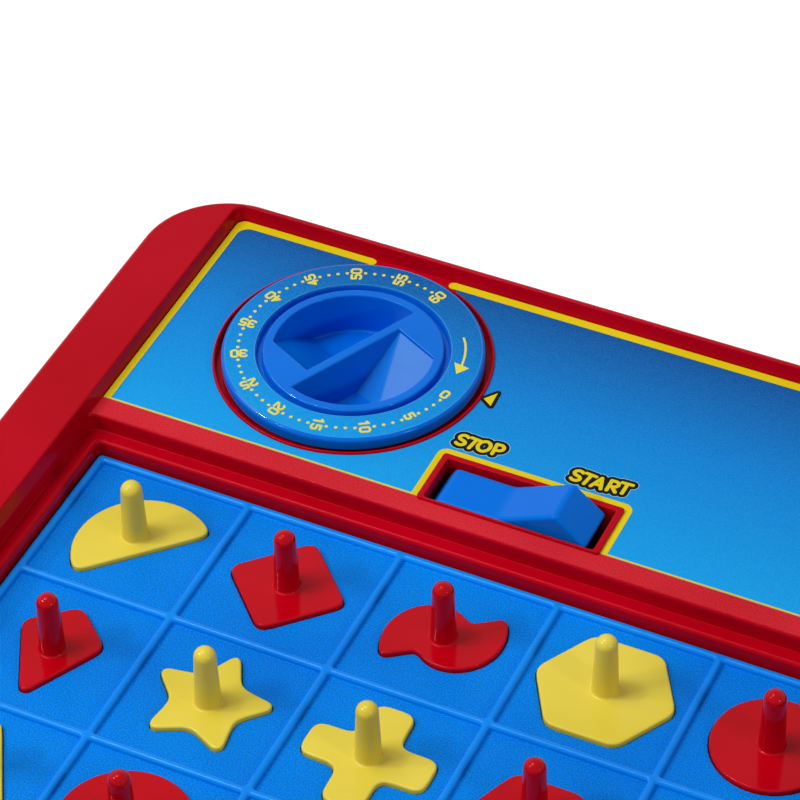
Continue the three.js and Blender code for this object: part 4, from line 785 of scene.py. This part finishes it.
def rocker():
    half = 5.3
    body = loft("rocker_switch_moulding", [[(x, y, z) for x, z in rocker_outline()] for y in (half, -half)])
    bevel = body.modifiers.new("round", "BEVEL")
    bevel.width = 0.9 * MM
    bevel.segments = 5
    bevel.limit_method = "ANGLE"
    bevel.angle_limit = math.radians(20)
    bake(body)
    leg = rounded_block("leg", (-1.2, 1.2, -1.5, 1.5), 0.3, [(-14.5, 0.3), (-14.2, 0), (0, 0)], 3)
    join(body, leg)
    bore = place(lathe("bore", [(1.8, -10), (1.8, 10)], steps=32), turn=math.pi / 2, axis="X")
    cut(body, bore)
    place(body, *ROCKER, -ROCKER_TILT, "Y")
    finish(body, "rocker", "dial_blue", ROCKER_BLUE, replaces=["rocker_switch"])


rocker()


# Outlines of the shape pieces, as shares of their reach

def polar(share, degrees):
    return (share * math.cos(math.radians(degrees)), share * math.sin(math.radians(degrees)))


def around(count, share, start):
    return [polar(share, start + 360 / count * i) for i in range(count)]


def star(points, outer, inner, start):
    return [polar(inner if i % 2 else outer, start + 180 / points * i) for i in range(points * 2)]


def turned(points, degrees):
    cos, sin = polar(1, degrees)
    return [(x * cos - y * sin, x * sin + y * cos) for x, y in points]


def plus(reach, arm):
    return [p for d in (0, 90, 180, 270) for p in turned([(reach, -arm), (reach, arm), (arm, arm)], d)]


def sweep(share, start, end, steps):
    return [polar(share, start + (end - start) * i / steps) for i in range(steps + 1)]


def shifted(points, dx, dy):
    return [(x + dx, y + dy) for x, y in points]


def crescent():
    inner = shifted(sweep(0.72, 285, 75, 36), 0.36, 0)
    return shifted(sweep(0.92, 66, 294, 56) + inner, 0.62, 0)


def pinwheel():
    blade = [polar(0.94 - 0.52 * i / 40, 226 - 168 * i / 40) for i in range(41)]
    return blade + [(-x, -y) for x, y in blade]


# Name, outline and colour of each piece, row by row from the back left
SHAPES = [
    ("half_disc", shifted(sweep(1.01, 42, 228, 60), *polar(0.31, -45)), "Y"),
    ("diamond", around(4, 0.92, 0), "R"),
    ("pinwheel", pinwheel(), "R"),
    ("hexagon", around(6, 1.03, 0), "Y"),
    ("disc", around(96, 0.84, 0), "R"),
    ("kite", [(0, -0.95), (0.66, 0.3), (0, 0.86), (-0.66, 0.3)], "R"),
    ("star", star(5, 1, 0.5, 90), "Y"),
    ("cross", plus(0.92, 0.3), "Y"),
    ("trapezoid", [(-0.95, -0.5), (0.95, -0.5), (0.5, 0.55), (-0.5, 0.55)], "R"),
    ("crescent", crescent(), "Y"),
    ("triangle", around(3, 1, 90), "Y"),
    ("pie", [(0, 0)] + sweep(0.96, 35, 325, 72), "R"),
    ("octagon", around(8, 0.88, 22.5), "Y"),
    ("arrow", [(0, 0.95), (0.85, 0.05), (0.4, 0.05), (0.4, -0.8), (-0.4, -0.8), (-0.4, 0.05),
               (-0.85, 0.05)], "R"),
    ("square", around(4, 0.88, 45), "Y"),
    ("parallelogram", [(-0.95, -0.5), (0.45, -0.5), (0.95, 0.5), (-0.45, 0.5)], "R"),
    ("diagonal_cross", turned(plus(0.96, 0.28), 45), "Y"),
    ("hex_star", star(6, 0.98, 0.6, 90), "R"),
    ("rectangle", [(-0.9, -0.42), (0.9, -0.42), (0.9, 0.42), (-0.9, 0.42)], "Y"),
    ("pentagon", around(5, 0.92, 90), "R"),
    ("quarter_disc", shifted([(0, 0)] + sweep(1.5, 0, 90, 36), -0.68, -0.68), "Y"),
    ("hourglass", [(-0.75, -0.85), (0.75, -0.85), (0.32, 0), (0.75, 0.85), (-0.75, 0.85), (-0.32, 0)], "R"),
    ("chevron", [(-0.85, -0.75), (0, -0.3), (0.85, -0.75), (0.85, 0.2), (0, 0.75), (-0.85, 0.2)], "Y"),
    ("right_triangle", [(-0.62, -0.68), (0.9, -0.68), (-0.62, 0.84)], "R"),
    ("burst", star(8, 0.94, 0.66, 0), "Y"),
]
# Reach of a full share, spacing of an outline's points, and how many steps wear its corners round
REACH, SPACING, WEAR, LESS_WEAR = 14.2, 0.3, 36, {"pinwheel": 20}


def resampled(points):
    """Points at an even spacing along a closed outline."""
    closed = points + points[:1]
    length = sum(math.dist(p, q) for p, q in zip(closed, closed[1:]))
    count = round(length / SPACING)
    spaced, along, target = [], 0.0, 0.0
    for p, q in zip(closed, closed[1:]):
        side = math.dist(p, q)
        while len(spaced) < count and target <= along + side:
            t = (target - along) / side
            spaced.append((p[0] + (q[0] - p[0]) * t, p[1] + (q[1] - p[1]) * t))
            target += length / count
        along += side
    return spaced


def thinned(outline, limit):
    """The points at which an outline has turned by more than a limit since the last one kept."""
    kept, turn = [], 0.0
    for i, point in enumerate(outline):
        before = Vector(point) - Vector(outline[i - 1])
        after = Vector(outline[(i + 1) % len(outline)]) - Vector(point)
        turn += before.angle(after)
        if turn > limit:
            kept.append(point)
            turn = 0.0
    return kept


def rounded(title, shares):
    """A piece's outline; small steps towards the neighbours' mean wear its corners round."""
    smooth = resampled([(x * REACH, y * REACH) for x, y in shares])
    for _ in range(LESS_WEAR.get(title, WEAR)):
        ahead, behind = smooth[1:] + smooth[:1], smooth[-1:] + smooth[:-1]
        smooth = resampled([((2 * p[0] + q[0] + r[0]) / 4, (2 * p[1] + q[1] + r[1]) / 4)
                            for p, q, r in zip(smooth, ahead, behind)])
    return anticlockwise(thinned(smooth, math.radians(6.0)))


def offset(outline, gap):
    """The outline moved outwards by a gap, or inwards by a negative one."""
    moved, sharpest = [], 0.6
    for i, p in enumerate(outline):
        before, after = Vector(outline[i - 1]), Vector(outline[(i + 1) % len(outline)])
        a, b = (Vector(p) - before).normalized(), (after - Vector(p)).normalized()
        normal = Vector((a.y + b.y, -a.x - b.x)).normalized()
        lean = max(normal.x * b.y - normal.y * b.x, sharpest)
        moved.append((p[0] + normal.x * gap / lean, p[1] + normal.y * gap / lean))
    return moved


# Solids with such an outline, capped with triangles

def side_of(p, q, r):
    """Twice the area of a flat triangle, positive when it runs anticlockwise."""
    return (q[0] - p[0]) * (r[1] - p[1]) - (q[1] - p[1]) * (r[0] - p[0])


def ear(outline, ring, k):
    """Whether the corner k of what is left of an outline can be cut off."""
    a, b, c = ring[k - 1], ring[k], ring[(k + 1) % len(ring)]
    p, q, r = outline[a], outline[b], outline[c]
    if side_of(p, q, r) <= 1e-9:
        return False
    for i in ring:
        if i not in (a, b, c):
            t = outline[i]
            if side_of(p, q, t) >= 0 and side_of(q, r, t) >= 0 and side_of(r, p, t) >= 0:
                return False
    return True


def cap(outline, middle):
    """Triangles that fill an anticlockwise outline, the one round the middle point split there."""
    ring = list(range(len(outline)))
    ready = [ear(outline, ring, k) for k in range(len(ring))]
    triangles = []
    while len(ring) > 3:
        if not any(ready):
            ready = [ear(outline, ring, k) for k in range(len(ring))]
        options = [k for k in range(len(ring)) if ready[k]] or [0]
        chords = {k: math.dist(outline[ring[k - 1]], outline[ring[(k + 1) % len(ring)]]) for k in options}
        best = min(chords, key=chords.get)
        triangles.append((ring[best - 1], ring[best], ring[(best + 1) % len(ring)]))
        del ring[best], ready[best]
        for k in (best - 1, best % len(ring)):
            ready[k] = ear(outline, ring, k)
    triangles.append(tuple(ring))
    split = []
    for a, b, c in triangles:
        sides = [side_of(outline[u], outline[v], middle) for u, v in ((a, b), (b, c), (c, a))]
        if min(sides) > 0:
            split += [(a, b, len(outline)), (b, c, len(outline)), (c, a, len(outline))]
        else:
            split.append((a, b, c))
    return split


def stack(name, outline, levels, x, y):
    """A solid whose outline moves in or out level by level; its ends are triangles with a middle point."""
    count = len(outline)
    points, faces = [], []
    middle = (0.37, 0.23)
    for z, gap in levels:
        points += [(x + px, y + py, z) for px, py in offset(outline, gap)]
    for level in range(len(levels) - 1):
        a, b = level * count, (level + 1) * count
        faces += [(a + i, a + (i + 1) % count, b + (i + 1) % count, b + i) for i in range(count)]
    for level in (0, len(levels) - 1):
        z, gap = levels[level]
        points.append((x + middle[0], y + middle[1], z))
        numbers = [level * count + i for i in range(count)] + [len(points) - 1]
        for triangle in cap(offset(outline, gap), middle):
            face = tuple(numbers[k] for k in triangle)
            faces.append(face if level else face[::-1])
    return mesh_object(name, points, faces)


# Shape pieces

def cell_centre(index):
    column, row = index % 5, index // 5
    return ((column - 2) * PITCH, TRAY_Y + (2 - row) * PITCH)


def peg(x, y):
    """A peg that flares at its foot, narrows upwards and ends in a dome."""
    foot, top, flare = 2.65, 2.2, 0.5
    low, shoulder = PIECE_TOP + flare, PEG_TOP - top
    profile = [(foot + 0.55, PIECE_TOP - 1.0), (foot + 0.55, PIECE_TOP)]
    profile += [(foot + flare - flare * math.sin(t), low - flare * math.cos(t)) for t in quarter(5)[1:]]
    profile += [(foot - (foot - top) * k / 4, low + (shoulder - low) * k / 4) for k in range(1, 4)]
    profile += [(top * math.cos(t), shoulder + top * math.sin(t)) for t in quarter(10)[:-1]]
    return lathe("peg", profile, x, y, 40)


def shape_piece(index, title, shares, tone):
    x, y = cell_centre(index)
    chamfer, edge = 0.3, 0.45
    levels = [(PIECE_FOOT, -chamfer), (PIECE_FOOT + chamfer, 0.0)]
    levels += [(z, -d) for z, d in crown(PIECE_TOP, edge, 4)]
    piece = stack("piece_" + title + "_moulding", rounded(title, shares), levels, x, y)
    join(piece, peg(x, y))
    slot, material = ("piece_red", PIECE_RED) if tone == "R" else ("piece_yellow", PIECE_YELLOW)
    finish(piece, "shape_" + title, slot, material, replaces=["piece_" + title], angle=40)


for number, (title, shares, tone) in enumerate(SHAPES):
    shape_piece(number, title, shares, tone)


# Tray

def pop_tray():
    """Square cells between round ridges, each with the pocket of its shape, and posts below."""
    half, bar = (PITCH - RIDGE_WIDTH) / 2, RIDGE_WIDTH / 2 - 0.05
    foot, thickness, depth, play = 22, 5.4, 3.2, 0.2
    rect = (-TRAY_HALF, TRAY_HALF, TRAY_Y - TRAY_HALF, TRAY_Y + TRAY_HALF)
    tray = rounded_block("pop_tray_moulding", rect, 1.2, [(foot, 0)] + crown(RIDGE, bar, 7), 6)
    inner = TRAY_HALF - 2
    under = box("under", -inner, inner, TRAY_Y - inner, TRAY_Y + inner, foot - 2, CELL - thickness)
    cell_stages = fillet(CELL, 0.25, 3) + mouth(RIDGE, bar, 7, 2)
    pocket_levels = [(CELL - depth, play)] + [(z, play - d) for z, d in mouth(CELL, 0.12, 3, 3)]
    cells, pockets = [], []
    for index, (title, shares, _) in enumerate(SHAPES):
        x, y = cell_centre(index)
        square = (x - half, x + half, y - half, y + half)
        cells.append(fanned(rounded_block("cell", square, 0.3, cell_stages, 3)))
        pockets.append(stack("pocket", rounded(title, shares), pocket_levels, x, y))
    cut(tray, under, merge("cells", cells), merge("pockets", pockets))
    post = [(2.3, CELL - 11.4), (2.6, CELL - 11.1), (2.6, CELL - 5)]
    join(tray, *[lathe("post", post, x, y, 24) for x, y in SPRINGS])
    # The ridge tops take that smoother blue, whose lighter tone is painted highlight
    paint_two(tray, TRAY_BLUE, RIDGE_BLUE_SMOOTH_LIT, lambda face: face.center.z > (CELL + 0.15) * MM)
    finish(tray, "tray", "tray_blue", replaces=["pop_tray"])


pop_tray()


# Lower case, screws and the parts inside

def lower_case():
    """Shallow tub with a chamfered foot, screw posts with counterbores, and spring posts."""
    chamfer = [(0.12 + 1.48 * k / 4, 1.65 - 1.6 * k / 4) for k in range(4)]
    stages = [(0.0, 1.9)] + chamfer + [(1.75, 0.0), (SEAM - 0.3, 0.0), (SEAM, 0.3)]
    body = rounded_block("lower_case_moulding", CASE_RECT, CORNER, stages, 28)
    cut(body, rounded_block("tub", ROOM_RECT, CORNER - WALL, fillet(FLOOR, 0.8, 4) + [(SEAM + 3, 0)], 20))
    posts = [lathe("screw_post", [(4.3, 1.5), (4.3, SEAM)], x, y, 32) for x, y in SCREWS]
    posts += [lathe("spring_post", [(2.6, 1.5), (2.6, 10.1), (2.3, 10.4)], x, y, 24) for x, y in SPRINGS]
    join(body, *posts)
    sink = [(3.3, -3), (3.3, 0.0), (3.1, 0.2), (3.1, 6.0)]
    bores = [lathe("counterbore", sink, x, y, 32) for x, y in SCREWS]
    bores += [lathe("bore", [(1.6, -3), (1.6, SEAM + 3)], x, y, 24) for x, y in SCREWS]
    cut(body, *bores)
    finish(body, "case", "case_red", RED, replaces=["lower_case"])


def case_screws():
    """Self-tapping screws: domed head with a cross recess, and a threaded shank."""
    head = [(2.2, 3.7), (2.65, 3.85), (2.8, 4.2), (2.8, 5.7), (1.3, 5.7), (1.02, 5.9)]
    turns, lead, root, crest = 22, 0.75, 1.02, 1.3
    heights = [6.3 + lead * k for k in range(turns)]
    thread = [point for z in heights for point in ((root, z), (crest, z + 0.3))]
    tip = [(1.0, 22.9), (0.25, 23.7)]
    for number, (x, y) in enumerate(SCREWS, 1):
        screw = lathe("case_screw_turned_%d" % number, head + thread + tip, x, y, 24)
        arms = [box("arm", x - a, x + a, y - b, y + b, 3, 4.7) for a, b in ((1.5, 0.35), (0.35, 1.5))]
        cut(screw, *arms)
        finish(screw, "case", "steel", STEEL, replaces=["case_screw_%d" % number])


def dress_inner():
    """The parts inside keep their CAD shapes and get their metals and plastics."""
    springs = ["tray_spring_%d" % number for number in range(1, 5)]
    movement = ["movement_base", "movement_top_plate", "dial_shaft", "mainspring"]
    looks = [
        (STEEL, ["rocker_pin", "latch_pin"] + movement + springs),
        (NYLON, ["drive_gear", "second_wheel", "release_cam", "brake_lever", "release_latch"]),
        (BRASS, ["escape_wheel", "pallet"]),
    ]
    for material, names in looks:
        for name in names:
            for slot in frame["nodes"][name].material_slots:
                slot.material = material


lower_case()
case_screws()
dress_inner()


# Camera and lamps, in metres, and white surroundings

CAMERA_PLACE, CAMERA_ANGLES = (0.2041, -0.3977, 0.5466), (25.87, 42.76, 1.15)
CAMERA_LENS, CAMERA_SHIFT = 162.1, (-0.0012, -0.001)
# Name, place, target, size and power of each lamp
LAMPS = [
    ("key", (-0.42, -0.02, 1.2), (0.0, 0.0, 0.04), (0.55, 0.55), 5.3),
    ("spark", (-0.44, -0.1, 1.15), (0.0, 0.0, 0.04), (0.08, 0.08), 1.4),
    ("strip_left", (-0.74, -0.32, 0.74), (0.0, 0.06, 0.04), (0.16, 0.035), 2.2),
    ("strip_right", (-0.56, -0.46, 0.74), (0.0, 0.06, 0.04), (0.16, 0.035), 2.2),
    ("side", (0.95, -0.28, 0.5), (0.0, 0.0, 0.04), (0.12, 0.12), 1.9),
]
# Strength of the world's light on the object, where 1 is white
SURROUND = 0.3


def camera():
    """The photo's camera, from its turn round Z, its tilt down and its roll."""
    turn, lift, roll = (math.radians(v) for v in CAMERA_ANGLES)
    forward = Vector((-math.sin(turn) * math.cos(lift), math.cos(turn) * math.cos(lift), -math.sin(lift)))
    right = Vector((math.cos(turn), math.sin(turn), 0.0))
    down = forward.cross(right)
    across = right * math.cos(roll) + down * math.sin(roll)
    below = down * math.cos(roll) - right * math.sin(roll)
    matrix = Matrix((across, -below, -forward)).transposed().to_4x4()
    matrix.translation = Vector(CAMERA_PLACE)
    data = bpy.data.cameras.new("camera")
    data.lens = CAMERA_LENS
    data.sensor_width = 36.0
    data.shift_x, data.shift_y = CAMERA_SHIFT
    obj = linked("camera", data)
    obj.matrix_world = matrix
    bpy.context.scene.camera = obj


def lamp(name, place, target, size, power):
    data = bpy.data.lights.new(name, "AREA")
    data.shape = "RECTANGLE"
    data.size, data.size_y = size
    data.energy = power
    obj = linked(name, data)
    obj.location = place
    obj.rotation_euler = (Vector(target) - Vector(place)).to_track_quat("-Z", "Y").to_euler()


def plain_rays(tree):
    """1 for the rays that show the surroundings white: camera, glossy and transmission."""
    path = tree.nodes.new("ShaderNodeLightPath")
    level = path.outputs["Is Camera Ray"]
    for kind in ("Is Glossy Ray", "Is Transmission Ray"):
        larger = tree.nodes.new("ShaderNodeMath")
        larger.operation = "MAXIMUM"
        tree.links.new(level, larger.inputs[0])
        tree.links.new(path.outputs[kind], larger.inputs[1])
        level = larger.outputs[0]
    return level


def white_floor():
    """A wide pale floor, brightened to white for the rays that show it."""
    reach, bend = 1600, 300
    slab = rounded_block("floor", (-reach, reach, -reach, reach), bend, [(-3.0, 0.0), (0.0, 0.0)], 8)
    nodes = Nodes("floor_white", roughness=0.7)
    nodes.connect("Base Color", linear(232, 232, 232))
    nodes.connect("Emission Color", (1, 1, 1, 1))
    nodes.connect("Emission Strength", nodes.calculate("MULTIPLY", plain_rays(nodes.tree), 0.3))
    paint(slab, nodes.material)


def world():
    """White to the plain rays, and an even light on the object."""
    studio = bpy.data.worlds.new("studio")
    bpy.context.scene.world = studio
    studio.use_nodes = True
    tree = studio.node_tree
    level = tree.nodes.new("ShaderNodeMapRange")
    level.inputs["To Min"].default_value = SURROUND
    level.inputs["To Max"].default_value = 1.0
    tree.links.new(plain_rays(tree), level.inputs["Value"])
    back = tree.nodes["Background"]
    back.inputs["Color"].default_value = (1, 1, 1, 1)
    tree.links.new(level.outputs[0], back.inputs["Strength"])


camera()
world()
white_floor()
for settings in LAMPS:
    lamp(*settings)
bpy.context.scene.view_settings.view_transform = "Standard"
